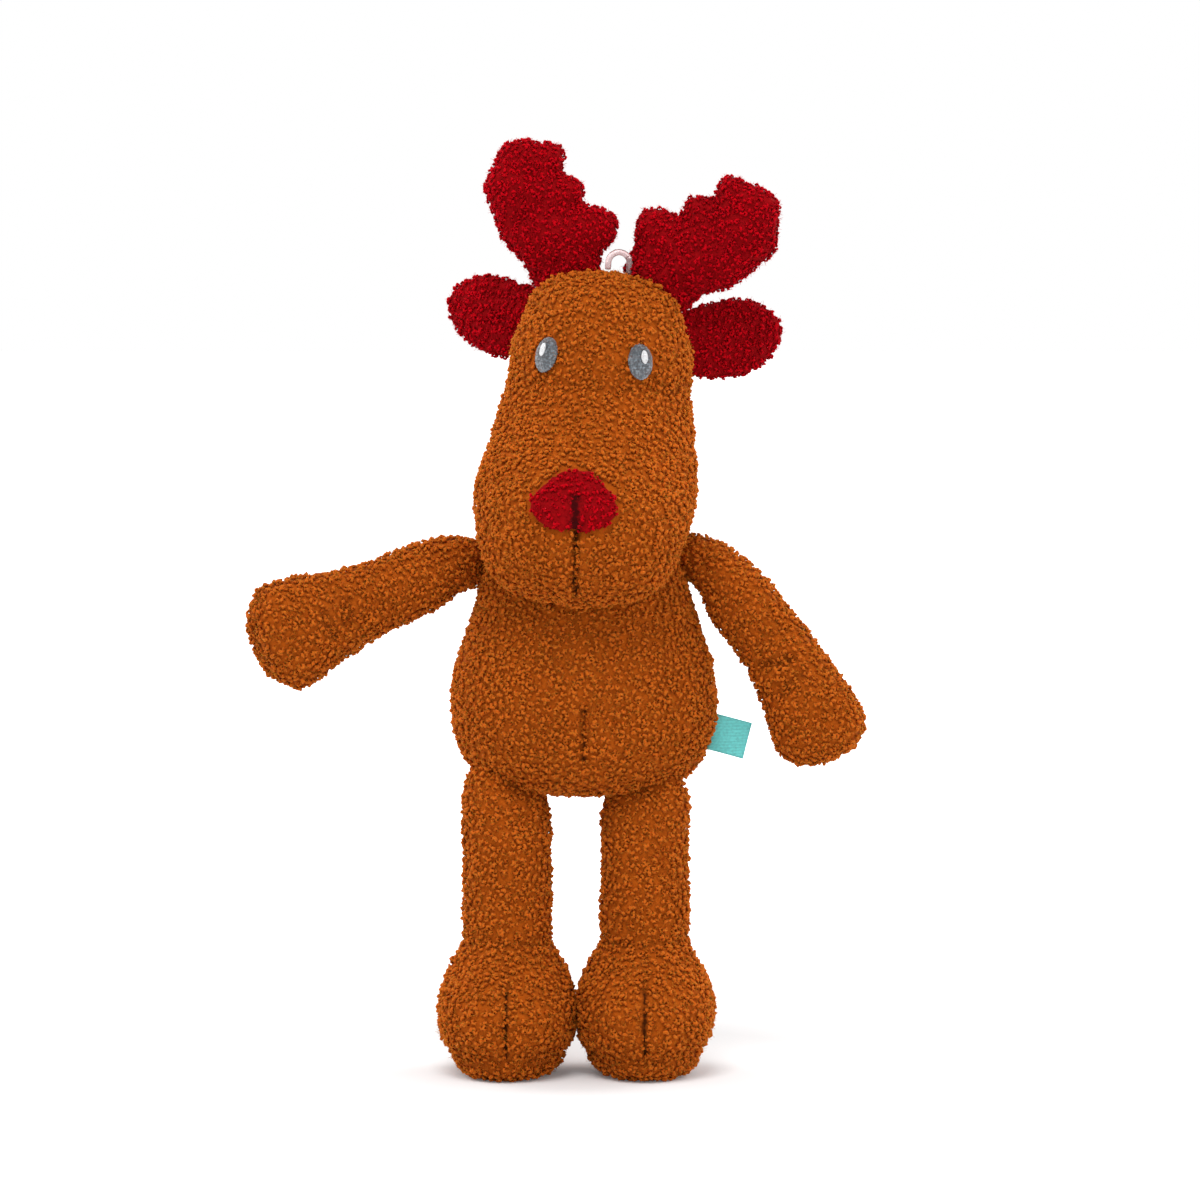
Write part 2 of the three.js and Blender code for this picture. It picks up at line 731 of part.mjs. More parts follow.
for (const side of Object.keys(sides)) {
  const { eye, glint } = eyeOf(side);
  addPiece(headFrame, `${side}_eye`, eye, greyThread());
  addPiece(headFrame, `${side}_eye_glint`, glint, whiteThread());

  const arm = armOf(side);
  const armFrame = carriedAt(torso, `${side}_arm`, arm.shoulder);
  addPiece(armFrame, `${side}_arm_front_cover`, arm.front, brownPile());
  addPiece(armFrame, `${side}_arm_back_cover`, arm.back, brownPile());
  addPiece(armFrame, `${side}_arm_stuffing`, arm.stuffing, filling());

  const leg = legOf(side);
  const legFrame = carriedAt(torso, `${side}_leg`, leg.hip);
  addPiece(legFrame, `${side}_shin_cover`, leg.shin, brownPile());
  addPiece(legFrame, `${side}_foot_outer_cover`, leg.outer, brownPile());
  addPiece(legFrame, `${side}_foot_inner_cover`, leg.inner, brownPile());
  addPiece(legFrame, `${side}_foot_sole`, leg.sole, brownPile());
  addPiece(legFrame, `${side}_leg_stuffing`, leg.stuffing, filling());

  const ear = earOf(side);
  const earFrame = carriedAt(headFrame, `${side}_ear`, ear.flap);
  addPiece(earFrame, `${side}_ear_front_cover`, ear.front, crimsonPile());
  addPiece(earFrame, `${side}_ear_back_cover`, ear.back, crimsonPile());

  const antler = antlerOf(side);
  const antlerFrame = carriedAt(headFrame, `${side}_antler`, antler.flop);
  addPiece(antlerFrame, `${side}_antler_front_cover`, antler.front, crimsonPile());
  addPiece(antlerFrame, `${side}_antler_back_cover`, antler.back, crimsonPile());
  addPiece(antlerFrame, `${side}_antler_stuffing`, antler.stuffing, filling());
}

const label = labelParts();
const labelFrame = carriedAt(torso, 'label', label.flap);
addPiece(labelFrame, 'side_label', label.tape, tealTape());

const loop = loopParts();
const loopFrame = carriedAt(headFrame, 'loop', loop.fold);
addPiece(loopFrame, 'hanging_loop', loop.cord, clearCord());

// The origin is the middle of the whole toy's foot print, on the surface that it stands on
const outerBox = new THREE.Box3().setFromObject(deer, true);
const middle = outerBox.getCenter(new THREE.Vector3());
torso.position.set(-middle.x, -middle.y, -outerBox.min.z);
deer.updateMatrixWorld(true);

export default deer;
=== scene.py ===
"""A plush deer, sewn from curly pile over the packed frame of its covers and stuffing.

Every size is in metres, in the frame's own axes: Z up, the toy faces -Y, and its own left is +X.
"""

import json
import math

import bmesh
import bpy
import numpy as np
from bpy.props import FloatProperty, FloatVectorProperty, IntProperty, PointerProperty
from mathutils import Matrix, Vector
from mathutils.bvhtree import BVHTree
from mathutils.kdtree import KDTree

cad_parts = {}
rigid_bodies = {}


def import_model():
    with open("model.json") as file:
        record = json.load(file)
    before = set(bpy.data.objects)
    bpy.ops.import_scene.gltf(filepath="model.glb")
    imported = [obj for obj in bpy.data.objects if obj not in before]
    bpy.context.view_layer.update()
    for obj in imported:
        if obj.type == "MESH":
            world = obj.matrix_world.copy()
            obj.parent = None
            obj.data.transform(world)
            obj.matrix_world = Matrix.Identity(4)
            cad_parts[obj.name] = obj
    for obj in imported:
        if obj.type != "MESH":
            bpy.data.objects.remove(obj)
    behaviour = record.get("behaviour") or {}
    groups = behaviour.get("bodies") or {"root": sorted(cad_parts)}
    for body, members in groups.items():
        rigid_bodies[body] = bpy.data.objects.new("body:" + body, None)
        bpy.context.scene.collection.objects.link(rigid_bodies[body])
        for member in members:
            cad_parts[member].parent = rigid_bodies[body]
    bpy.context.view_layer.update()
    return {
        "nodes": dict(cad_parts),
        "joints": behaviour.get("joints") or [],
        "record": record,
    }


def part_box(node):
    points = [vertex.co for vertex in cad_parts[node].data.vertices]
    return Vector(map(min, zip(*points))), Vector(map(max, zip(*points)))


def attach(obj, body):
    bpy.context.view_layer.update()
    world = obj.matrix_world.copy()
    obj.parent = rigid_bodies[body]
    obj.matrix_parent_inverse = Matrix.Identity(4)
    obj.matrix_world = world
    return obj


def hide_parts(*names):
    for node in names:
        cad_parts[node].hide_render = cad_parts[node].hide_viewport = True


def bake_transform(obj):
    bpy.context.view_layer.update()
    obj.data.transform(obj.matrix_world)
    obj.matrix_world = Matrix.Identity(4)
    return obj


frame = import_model()

bl_info = {
    "name": "Plush Deer",
    "version": (1, 0, 0),
    "blender": (4, 5, 0),
    "location": "View3D > Sidebar > Deer",
    "description": "Dresses a plush deer in curly pile over its frame",
    "category": "Add Mesh",
}

MM = 0.001
UP = np.array((0.0, 0.0, 1.0))
INWARD = (0, 1, 0)
SIDES = ("right", "left")
JOINTS = {joint["name"]: joint for joint in frame["joints"]}


# Settings


class DeerSkin(bpy.types.PropertyGroup):
    """How the covers are shaped under their pile."""

    grid: FloatProperty(
        name="Cloth grid", description="Grid of the brown covers' cloth",
        default=3 * MM, unit="LENGTH",
    )
    fine_grid: FloatProperty(
        name="Fine grid", description="Grid of the ears' and antlers' cloth",
        default=2 * MM, unit="LENGTH",
    )
    nose_grid: FloatProperty(
        name="Nose grid", description="Grid of the nose patch", default=1 * MM, unit="LENGTH",
    )
    smoothing: IntProperty(
        name="Smoothing", description="Smoothing passes over a cover before it is stuffed",
        default=3, min=0,
    )
    slack: FloatProperty(
        name="Slack", description="How far inside its full size a cover hangs before it is stuffed",
        default=0.9 * MM, unit="LENGTH",
    )
    spare: FloatProperty(
        name="Spare cloth", description="How much longer the cloth is than the slack cover",
        default=0.03, subtype="FACTOR",
    )
    pressure: FloatProperty(
        name="Pressure", description="How hard the filling presses on the cloth", default=20,
    )
    swelling: FloatProperty(
        name="Swelling", description="The furthest that the filling may move the cloth",
        default=2.6 * MM, unit="LENGTH",
    )
    seam_depth: FloatProperty(
        name="Seam depth", description="How far a seam draws the stuffed cover in",
        default=1.3 * MM, unit="LENGTH",
    )
    seam_width: FloatProperty(
        name="Seam width", description="Distance from a seam at which the cover comes back out",
        default=1.9 * MM, unit="LENGTH",
    )
    unevenness: FloatProperty(
        name="Unevenness", description="Depth of the loose filling's dents",
        default=1 * MM, unit="LENGTH",
    )


class DeerPile(bpy.types.PropertyGroup):
    """The curls of the brown and crimson pile."""

    brown_spacing: FloatProperty(
        name="Brown spacing", description="Least distance between two brown curls",
        default=1.6 * MM, unit="LENGTH",
    )
    brown_radius: FloatProperty(
        name="Brown curl", description="Radius of a brown curl", default=0.66 * MM, unit="LENGTH",
    )
    brown_yarn: FloatProperty(
        name="Brown yarn", description="Half the thickness of the brown yarn",
        default=0.66 * MM, unit="LENGTH",
    )
    brown_fuzz: FloatProperty(
        name="Brown fuzz", description="Loose fibres to a brown curl", default=2, min=0,
    )
    crimson_spacing: FloatProperty(
        name="Crimson spacing", description="Least distance between two crimson curls",
        default=1.32 * MM, unit="LENGTH",
    )
    crimson_radius: FloatProperty(
        name="Crimson curl", description="Radius of a crimson curl",
        default=0.54 * MM, unit="LENGTH",
    )
    crimson_yarn: FloatProperty(
        name="Crimson yarn", description="Half the thickness of the crimson yarn",
        default=0.52 * MM, unit="LENGTH",
    )
    crimson_fuzz: FloatProperty(
        name="Crimson fuzz", description="Loose fibres to a crimson curl", default=3, min=0,
    )
    fibre: FloatProperty(
        name="Fibre", description="Half the thickness of a loose fibre",
        default=0.09 * MM, unit="LENGTH",
    )
    seed: IntProperty(name="Seed", description="Start of the pile's random numbers", default=7)


class DeerColours(bpy.types.PropertyGroup):
    """The colours of the fabrics and threads."""

    # Each pile's light and dark colours are partly its own tones and partly painted highlight and painted
    # shade: a curl is coloured darker the lower it lies, and the backing between the curls takes the dark
    # colour as painted shade.
    brown_light: FloatVectorProperty(
        name="Brown, light", description="Curls that catch the light",
        subtype="COLOR", size=3, default=(0.5, 0.112, 0.008),
    )
    brown_dark: FloatVectorProperty(
        name="Brown, dark", description="Curls that lie deep",
        subtype="COLOR", size=3, default=(0.34, 0.066, 0.003),
    )
    crimson_light: FloatVectorProperty(
        name="Crimson, light", description="Curls that catch the light",
        subtype="COLOR", size=3, default=(0.45, 0.0004, 0.005),
    )
    crimson_dark: FloatVectorProperty(
        name="Crimson, dark", description="Curls that lie deep",
        subtype="COLOR", size=3, default=(0.23, 0.0003, 0.002),
    )
    teal: FloatVectorProperty(
        name="Teal", description="Woven tape of the side label",
        subtype="COLOR", size=3, default=(0.14, 0.68, 0.66),
    )


class DeerStage(bpy.types.PropertyGroup):
    """The camera and the light."""

    distance: FloatProperty(
        name="Camera distance", description="From the camera to the toy", default=2.6, unit="LENGTH",
    )
    elevation: FloatProperty(
        name="Elevation", description="How far the camera looks down",
        default=math.radians(5), subtype="ANGLE",
    )
    view_width: FloatProperty(
        name="View width", description="Width of what the camera sees at the toy",
        default=0.4872, unit="LENGTH",
    )
    aim_aside: FloatProperty(
        name="Aim aside", description="The view's middle, from the body's middle",
        default=6.5 * MM, unit="LENGTH",
    )
    aim_height: FloatProperty(
        name="Aim height", description="The view's middle, over the floor",
        default=190.6 * MM, unit="LENGTH",
    )


# Geometry of the frame


def points_of(mesh):
    """The mesh's vertices as an array of rows."""
    points = np.empty(len(mesh.vertices) * 3, np.float32)
    mesh.vertices.foreach_get("co", points)
    return points.reshape(-1, 3).astype(float)


def normals_of(mesh):
    """The mesh's vertex normals as an array of rows."""
    normals = np.empty(len(mesh.vertices) * 3, np.float32)
    mesh.vertex_normals.foreach_get("vector", normals)
    return normals.reshape(-1, 3).astype(float)


def move_points(mesh, points):
    """Gives the mesh's vertices new places."""
    mesh.vertices.foreach_set("co", points.astype(np.float32).ravel())
    mesh.update()


def node_meshes(*names):
    """The meshes of CAD nodes."""
    return [frame["nodes"][name].data for name in names]


def node_points(*names):
    """The vertices of CAD nodes, together."""
    return np.concatenate([points_of(mesh) for mesh in node_meshes(*names)])


def tree_of(*meshes):
    """One search tree over several meshes."""
    points, faces = [], []
    for mesh in meshes:
        start = len(points)
        points.extend(vertex.co.copy() for vertex in mesh.vertices)
        faces.extend([start + k for k in face.vertices] for face in mesh.polygons)
    return BVHTree.FromPolygons(points, faces)


def node_tree(*names):
    """One search tree over several CAD nodes."""
    return tree_of(*node_meshes(*names))


def distances(tree, points):
    """How far each point is from what the tree holds."""
    return np.array([tree.find_nearest(point)[3] for point in points.tolist()])


class Solid:
    """A closed skin that can tell what lies in it or near it."""

    SIGHT = Vector((0.31, 0.17, 0.93)).normalized()
    STEP = 0.001 * MM

    def __init__(self, mesh):
        points = points_of(mesh)
        self.low, self.high = points.min(0), points.max(0)
        self.tree = tree_of(mesh)

    def inside(self, point):
        """Whether a point is inside: a line from it then leaves the skin an odd number of times."""
        crossings = 0
        place = self.tree.ray_cast(point, self.SIGHT)[0]
        while place is not None:
            crossings += 1
            place = self.tree.ray_cast(place + self.SIGHT * self.STEP, self.SIGHT)[0]
        return crossings % 2 == 1

    def holds(self, points, clearance):
        """Which points lie inside the skin, or outside it but closer than the clearance."""
        held = ((points > self.low - clearance) & (points < self.high + clearance)).all(1)
        for k in np.flatnonzero(held):
            point = Vector(points[k])
            held[k] = self.tree.find_nearest(point)[3] < clearance or self.inside(point)
        return held


def valley(distance, width):
    """1 in the middle of a seam, falling smoothly to nought beyond its width."""
    return np.exp(-((distance / width) ** 2))


def path_distances(path, points):
    """How far each point is from a path of straight lines."""
    found = []
    for start, end in zip(path, path[1:]):
        along = end - start
        share = np.clip((points - start) @ along / (along @ along), 0, 1)
        found.append(np.linalg.norm(points - start - share[:, None] * along, axis=1))
    return np.min(found, axis=0)


class Crease:
    """A line along which a skin is drawn in: its path, its depth, its width and its parting.

    The parting says how far the pile opens along the line and how much painted shade falls in it: under
    BARE_PULL it still covers the skin.
    """

    REACH = 9 * MM

    def __init__(self, path, depth, width, parting=1.0):
        self.path = np.array(path)
        self.depth = depth
        self.width = width
        self.parting = parting

    def pull(self, points):
        """1 on the line as seen from the front, falling smoothly to nought beyond the width."""
        flatten = 1 - np.array(INWARD)
        beside = path_distances(self.path * flatten, points * flatten)
        return np.where(path_distances(self.path, points) < self.REACH, valley(beside, self.width), 0)


class Sewing:
    """What draws a skin in: the seams between its covers, its creases, and what it leans against.

    The share is how strong its seams are. The light covers are sewn on with less, each by a share.
    """

    LEANING = 5 * MM

    def __init__(self, covers=(), share=1.0, light=(), creases=(), against=None, pressed=0.0):
        self.covers = list(covers)
        self.share = share
        self.light = light
        self.creases = creases
        self.against = against
        self.pressed = pressed

    def seams(self, points, width):
        """1 in a seam, less along a cover that is sewn on lightly, nought away from both."""
        if len(self.covers) < 2:
            return np.zeros(len(points))
        reach = np.array([distances(node_tree(name), points) for name in self.covers])
        nearest = np.argsort(reach, axis=0)[:2]
        reach.sort(axis=0)
        found = valley(reach[1] - reach[0], width)
        for name, share in self.light:
            found[(nearest == self.covers.index(name)).any(0)] *= share
        return found

    def pull(self, points):
        """How strongly the nearest seam or crease draws each point in, from nought to 1; this also sets the
        painted shade there.
        """
        lines = [self.share * self.seams(points, bpy.context.scene.deer_skin.seam_width)]
        lines += [line.parting * line.pull(points) for line in self.creases]
        return np.max(lines, axis=0)

    def depths(self, points):
        """How far in each point is drawn."""
        settings = bpy.context.scene.deer_skin
        drawn = self.share * settings.seam_depth * self.seams(points, settings.seam_width)
        for line in self.creases:
            drawn = drawn + line.depth * line.pull(points)
        if self.against:
            drawn = drawn + self.pressed * valley(distances(self.against, points), self.LEANING)
        return drawn


# Each kind of limb: how it moves, the body that carries it, its pile, its root and its bend. The root
# is how much of the limb next to its joint it takes up, how far it reaches inward, how it narrows and
# how far it drops. The bend is how far before and after its joint's pivot the limb bends.
LIMBS = {
    "arm": ("raise", "torso", "brown", (7 * MM, 20 * MM, 0.85, 9 * MM), (16 * MM, 20 * MM)),
    "leg": ("swing", "torso", "brown", (6 * MM, 16 * MM, 0.9, 0), (6 * MM, 14 * MM)),
    "ear": ("flap", "head", "crimson", (4 * MM, 9 * MM, 0.9, 0), (3 * MM, 8 * MM)),
    "antler": ("flop", "head", "crimson", (3 * MM, 10 * MM, 0.9, 0), (4 * MM, 9 * MM)),
}


class Limb:
    """One of the toy's moving pieces: its joint, and the way that it points from there."""

    def __init__(self, side, part):
        motion, self.parent, self.pile, self.root, self.bend = LIMBS[part]
        self.body = f"{side}_{part}"
        self.nodes = frame["record"]["behaviour"]["bodies"][self.body]
        self.covers = [name for name in self.nodes if name.endswith(("cover", "sole"))]
        self.pivot = np.array(JOINTS[f"{self.body}_{motion}"]["pos_m"])
        outward = -UP if part == "leg" else node_points(*self.nodes).mean(0) - self.pivot
        self.way = outward / np.linalg.norm(outward)

    def along(self, points):
        """How far out from the joint each point is."""
        return (points - self.pivot) @ self.way


# Skins


def linked(name, data):
    """A new object in the scene."""
    piece = bpy.data.objects.new(name, data)
    bpy.context.collection.objects.link(piece)
    return piece


def root_block(limb):
    """The convex block that carries a limb's sewn end into what it is sewn to."""
    hold, reach, narrowing, drop = limb.root
    points = node_points(*limb.covers)
    near = points[limb.along(points) < hold]
    middle = near.mean(0)
    far = middle + (near - middle) * narrowing - limb.way * reach - UP * drop
    block = bmesh.new()
    for point in np.concatenate([near, far]):
        block.verts.new(point)
    hull = bmesh.ops.convex_hull(block, input=block.verts)
    bmesh.ops.delete(block, geom=hull["geom_interior"], context="VERTS")
    mesh = bpy.data.meshes.new(f"{limb.body}_root")
    block.to_mesh(mesh)
    block.free()
    return mesh


def joined(name, meshes):
    """One object with all the meshes in it."""
    points, faces = [], []
    for mesh in meshes:
        start = sum(len(part) for part in points)
        points.append(points_of(mesh))
        faces.extend([start + k for k in face.vertices] for face in mesh.polygons)
    whole = bpy.data.meshes.new(name)
    whole.from_pydata(np.concatenate(points), [], faces)
    whole.update()
    return linked(name, whole)


def apply_modifiers(piece):
    """Bakes the object's modifiers into its mesh."""
    depsgraph = bpy.context.evaluated_depsgraph_get()
    mesh = bpy.data.meshes.new_from_object(piece.evaluated_get(depsgraph))
    piece.modifiers.clear()
    piece.data = mesh
    mesh.name = piece.name


def smooth_skin(name, meshes, voxel, smoothing):
    """One closed, rounded skin over several solids."""
    piece = joined(name, meshes)
    remesh = piece.modifiers.new("Remesh", "REMESH")
    remesh.mode = "VOXEL"
    remesh.voxel_size = voxel
    smooth = piece.modifiers.new("Smooth", "SMOOTH")
    smooth.iterations = smoothing
    apply_modifiers(piece)
    piece.data.shade_smooth()
    return piece


CLOTH_STEPS = 12
CLOTH_TENSION = 5
PIN_WIDTH = 3 * MM
LEAST_PIN = 0.05
LEAST_MOVE = 0.001 * MM


def stuff(piece, sewing, settings, ease):
    """Lets the filling swell a slack cover as cloth whose seams hold it, then rounds it off."""
    mesh = piece.data
    full, normals = points_of(mesh), normals_of(mesh)
    start = full - normals * ease * settings.slack
    move_points(mesh, start)
    held = piece.vertex_groups.new(name="held")
    for number, weight in enumerate(sewing.seams(start, PIN_WIDTH).tolist()):
        if weight > LEAST_PIN:
            held.add([number], weight, "REPLACE")
    cloth = piece.modifiers.new("Filling", "CLOTH")
    cloth.settings.vertex_group_mass = held.name
    cloth.settings.use_pressure = True
    cloth.settings.uniform_pressure_force = ease * settings.pressure
    cloth.settings.effector_weights.gravity = 0
    cloth.settings.tension_stiffness = CLOTH_TENSION
    cloth.settings.compression_stiffness = CLOTH_TENSION
    cloth.settings.shrink_min = -settings.spare
    cloth.collision_settings.use_collision = False
    cloth.point_cache.frame_start = 1
    cloth.point_cache.frame_end = CLOTH_STEPS
    for step in range(1, CLOTH_STEPS + 1):
        bpy.context.scene.frame_set(step)
    evaluated = piece.evaluated_get(bpy.context.evaluated_depsgraph_get())
    move = points_of(bpy.data.meshes.new_from_object(evaluated)) - start
    length = np.linalg.norm(move, axis=1)
    move *= np.minimum(1, ease * settings.swelling / np.maximum(length, LEAST_MOVE))[:, None]
    piece.modifiers.clear()
    piece.vertex_groups.clear()
    bpy.context.scene.frame_set(1)
    full = start + move
    full[:, 2] = np.maximum(full[:, 2], 0)
    move_points(mesh, full)
    rounding = piece.modifiers.new("Rounding", "SUBSURF")
    rounding.levels = 1
    apply_modifiers(piece)
    piece.data.shade_smooth()


DENT_SIZE = 26 * MM
DENT_SIZE_SHARES = (0.8, 1.6)
DENT_WAVES = 6


def dents(points):
    """Soft random dents, from -1 to 1, about as far apart as their size."""
    rng = np.random.default_rng(len(points))
    total = np.zeros(len(points))
    for _ in range(DENT_WAVES):
        way = rng.normal(size=3)
        way *= 2 * math.pi / (DENT_SIZE * np.linalg.norm(way) * rng.uniform(*DENT_SIZE_SHARES))
        total += np.sin(points @ way + rng.uniform(0, 2 * math.pi))
    return total / DENT_WAVES


UNDER_SKIN = 0.01 * MM


def thicknesses(tree, points, normals):
    """How thick a skin's filling is, straight in from each point."""
    starts = (points - normals * UNDER_SKIN).tolist()
    found = [tree.ray_cast(Vector(a), Vector(b))[3] for a, b in zip(starts, (-normals).tolist())]
    return np.array([math.inf if distance is None else distance for distance in found])


SEWINGS = {}


def sew(piece, sewing, inset, settings, most_share=0.3):
    """Draws a skin in under its pile, dents it, and pulls it in at its seams and creases.

    It goes in by no more than a share of how thick the filling is.
    """
    mesh = piece.data
    points, normals = points_of(mesh), normals_of(mesh)
    depth = inset + settings.unevenness / 2 * dents(points) + sewing.depths(points)
    depth = np.minimum(depth, most_share * thicknesses(tree_of(mesh), points, normals))
    # The pull is kept as "sunk" for the backing's painted shade in seams and creases.
    sunk = mesh.attributes.new("sunk", "FLOAT", "POINT")
    sunk.data.foreach_set("value", sewing.pull(points).astype(np.float32))
    move_points(mesh, points - normals * depth[:, None])
    SEWINGS[piece.name] = sewing


def line_on(tree, points):
    """The points moved to the nearest places on a surface."""
    return [np.array(tree.find_nearest(Vector(point))[0]) for point in points]


def front_line(names, across, shares):
    """A line up the front of some nodes, at one place across them, through shares of their height."""
    points = node_points(*names)
    low, high = points.min(0), points.max(0)
    return line_on(node_tree(*names), [
        (across, low[1], low[2] + share * (high[2] - low[2])) for share in shares
    ])


def belly_dart():
    """The dart up the middle of the belly."""
    low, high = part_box("body_front_cover")
    path = front_line(["body_front_cover"], across=(low.x + high.x) / 2, shares=(0.13, 0.22, 0.32))
    return Crease(path, depth=1.8 * MM, width=1.8 * MM, parting=0.65)


# How far over the nose's foot the mouth seam starts, how it falls back and where its points are
MOUTH_OVERLAP = 2 * MM
MOUTH_SLOPE = 0.5
MOUTH_SHARES = (0, 0.25, 0.5, 0.75, 0.95)


def mouth_seam():
    """The seam from the nose's foot to the chin."""
    low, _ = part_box("nose_patch")
    foot = np.array((node_points("nose_patch").mean(0)[0], low.y, low.z + MOUTH_OVERLAP))
    drop = foot[2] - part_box("muzzle_cover")[0].z
    path = line_on(node_tree("muzzle_cover"), [
        foot + (0, share * drop * MOUTH_SLOPE, -share * drop) for share in MOUTH_SHARES
    ])
    return Crease(path, depth=3 * MM, width=1.3 * MM)


def nose_crease():
    """The crease from the nose's middle to its foot."""
    middle = node_points("nose_patch").mean(0)[0]
    path = front_line(["nose_patch"], across=middle, shares=(0, 0.3, 0.6))
    return Crease(path, depth=3.4 * MM, width=2.2 * MM)


def toe_seams(limb):
    """A foot's one crease: the seam up its front, from its sole to its top."""
    side = limb.body.split("_")[0]
    upper = [f"{side}_foot_{half}_cover" for half in ("inner", "outer")]
    path = front_line(upper, across=limb.pivot[0], shares=(0, 0.2, 0.4, 0.6, 0.75))
    return [Crease(path, depth=1.6 * MM, width=1 * MM)]


# How far down the arm each elbow wrinkle lies and how it slants, and where its points are across it
ELBOW_PLACES = ((0.46, 0.25), (0.58, -0.1))
ELBOW_ASIDE = (-8 * MM, 0, 8 * MM)


def elbow_creases(limb):
    """Two wrinkles across the front of an arm, inside its elbow."""
    points = node_points(*limb.covers)
    length = limb.along(points).max()
    across = np.cross(limb.way, INWARD)
    creases = []
    for share, slant in ELBOW_PLACES:
        middle = limb.pivot + limb.way * share * length
        middle[1] = points[:, 1].min()
        path = line_on(node_tree(*limb.covers), [
            middle + across * aside + limb.way * slant * aside for aside in ELBOW_ASIDE
        ])
        creases.append(Crease(path, depth=1.2 * MM, width=2.6 * MM, parting=0.5))
    return creases


# Pile


# How upright a normal may be and still be crossed with the vertical
STEEP = 0.8


def frames_at(normals, spins):
    """Two directions square to each normal, turned about it by the spins."""
    helper = np.where(np.abs(normals[:, 2:]) < STEEP, (0.0, 0.0, 1.0), (1.0, 0.0, 0.0))
    first = np.cross(helper, normals)
    first /= np.linalg.norm(first, axis=1)[:, None]
    second = np.cross(normals, first)
    turn_cos, turn_sin = np.cos(spins)[:, None], np.sin(spins)[:, None]
    return first * turn_cos + second * turn_sin, second * turn_cos - first * turn_sin


def point_tree(points):
    """A search tree over points."""
    tree = KDTree(len(points))
    for number, point in enumerate(points.tolist()):
        tree.insert(point, number)
    tree.balance()
    return tree


TRIES_SHARE = 3.2


def scattered(mesh, spacing, rng):
    """Random places on a mesh, none closer together than the spacing, with their normals."""
    mesh.calc_loop_triangles()
    count = len(mesh.loop_triangles)
    corners = np.empty(count * 3, np.int32)
    mesh.loop_triangles.foreach_get("vertices", corners)
    corners = corners.reshape(-1, 3)
    points, normals = points_of(mesh), normals_of(mesh)
    a, b, c = (points[corners[:, k]] for k in range(3))
    areas = np.linalg.norm(np.cross(b - a, c - a), axis=1) / 2
    tries = int(TRIES_SHARE * areas.sum() / spacing**2)
    chosen = rng.choice(count, tries, p=areas / areas.sum())
    share = rng.random((tries, 2))
    share = np.where(share.sum(1, keepdims=True) > 1, 1 - share, share)
    weights = np.column_stack([1 - share.sum(1), share])
    places = np.einsum("nk,nkd->nd", weights, points[corners[chosen]])
    leans = np.einsum("nk,nkd->nd", weights, normals[corners[chosen]])
    leans /= np.linalg.norm(leans, axis=1)[:, None]
    near = point_tree(places)
    taken = np.zeros(tries, bool)
    refused = np.zeros(tries, bool)
    for k, place in enumerate(places.tolist()):
        if refused[k]:
            continue
        taken[k] = True
        for _, other, _ in near.find_range(place, spacing):
            refused[other] = True
    return places[taken], leans[taken]


RINGS = 5
RING_SIDES = 5
FIBRE_RINGS = 3
FIBRE_SIDES = 3
CLUMP_SPACING = 2.6 * MM
CLUMP_PULL = 0.3
CLUMP_HEIGHT = 0.7 * MM


def tubes(lines, thick, first, second, sides):
    """Rings of points round many lines, from each line's half-thicknesses and two ways across it."""
    angles = 2 * math.pi * (np.arange(sides) + 0.5) / sides
    across = np.cos(angles)[:, None] * first[..., None, :] + np.sin(angles)[:, None] * second[..., None, :]
    return lines[..., None, :] + thick[..., None, None] * across


def clumped(places, middles, rng):
    """The places drawn together into nubs, how near its nub's middle each one is, and its nub's tone."""
    near = point_tree(middles)
    found = [near.find(place) for place in places.tolist()]
    nub = np.array([number for _, number, _ in found])
    away = np.array([distance for _, _, distance in found])
    nearness = np.clip(1 - away / CLUMP_SPACING, 0, 1)
    return places + CLUMP_PULL * (middles[nub] - places), nearness, rng.random(len(middles))[nub]


# How far from lying flat a curl stands, how much of a circle it makes, how far it twists out of its
# own plane, how sizes vary and how thick a curl's ends are
CURL_TILTS = (0, 60)
CURL_SWEEPS = (230, 350)
CURL_TWIST = 0.9
CURL_SHARES = (0.7, 1.4)
YARN_SHARES = (0.8, 1.25)
END_SHARE = 0.62

# How high a curl's middle is, in its sizes and in its yarn's, and where in a nub it is neither raised
# nor lowered
CURL_RAISED = 0.7
YARN_RAISED = 0.75
NUB_MIDDLE = 0.6

# How much smaller and flatter the pile is in a seam, and how much darker its painted shade is there
SEAM_CURL_LOSS = 0.4
SEAM_YARN_LOSS = 0.3
SEAM_SHADE_LOSS = 0.6


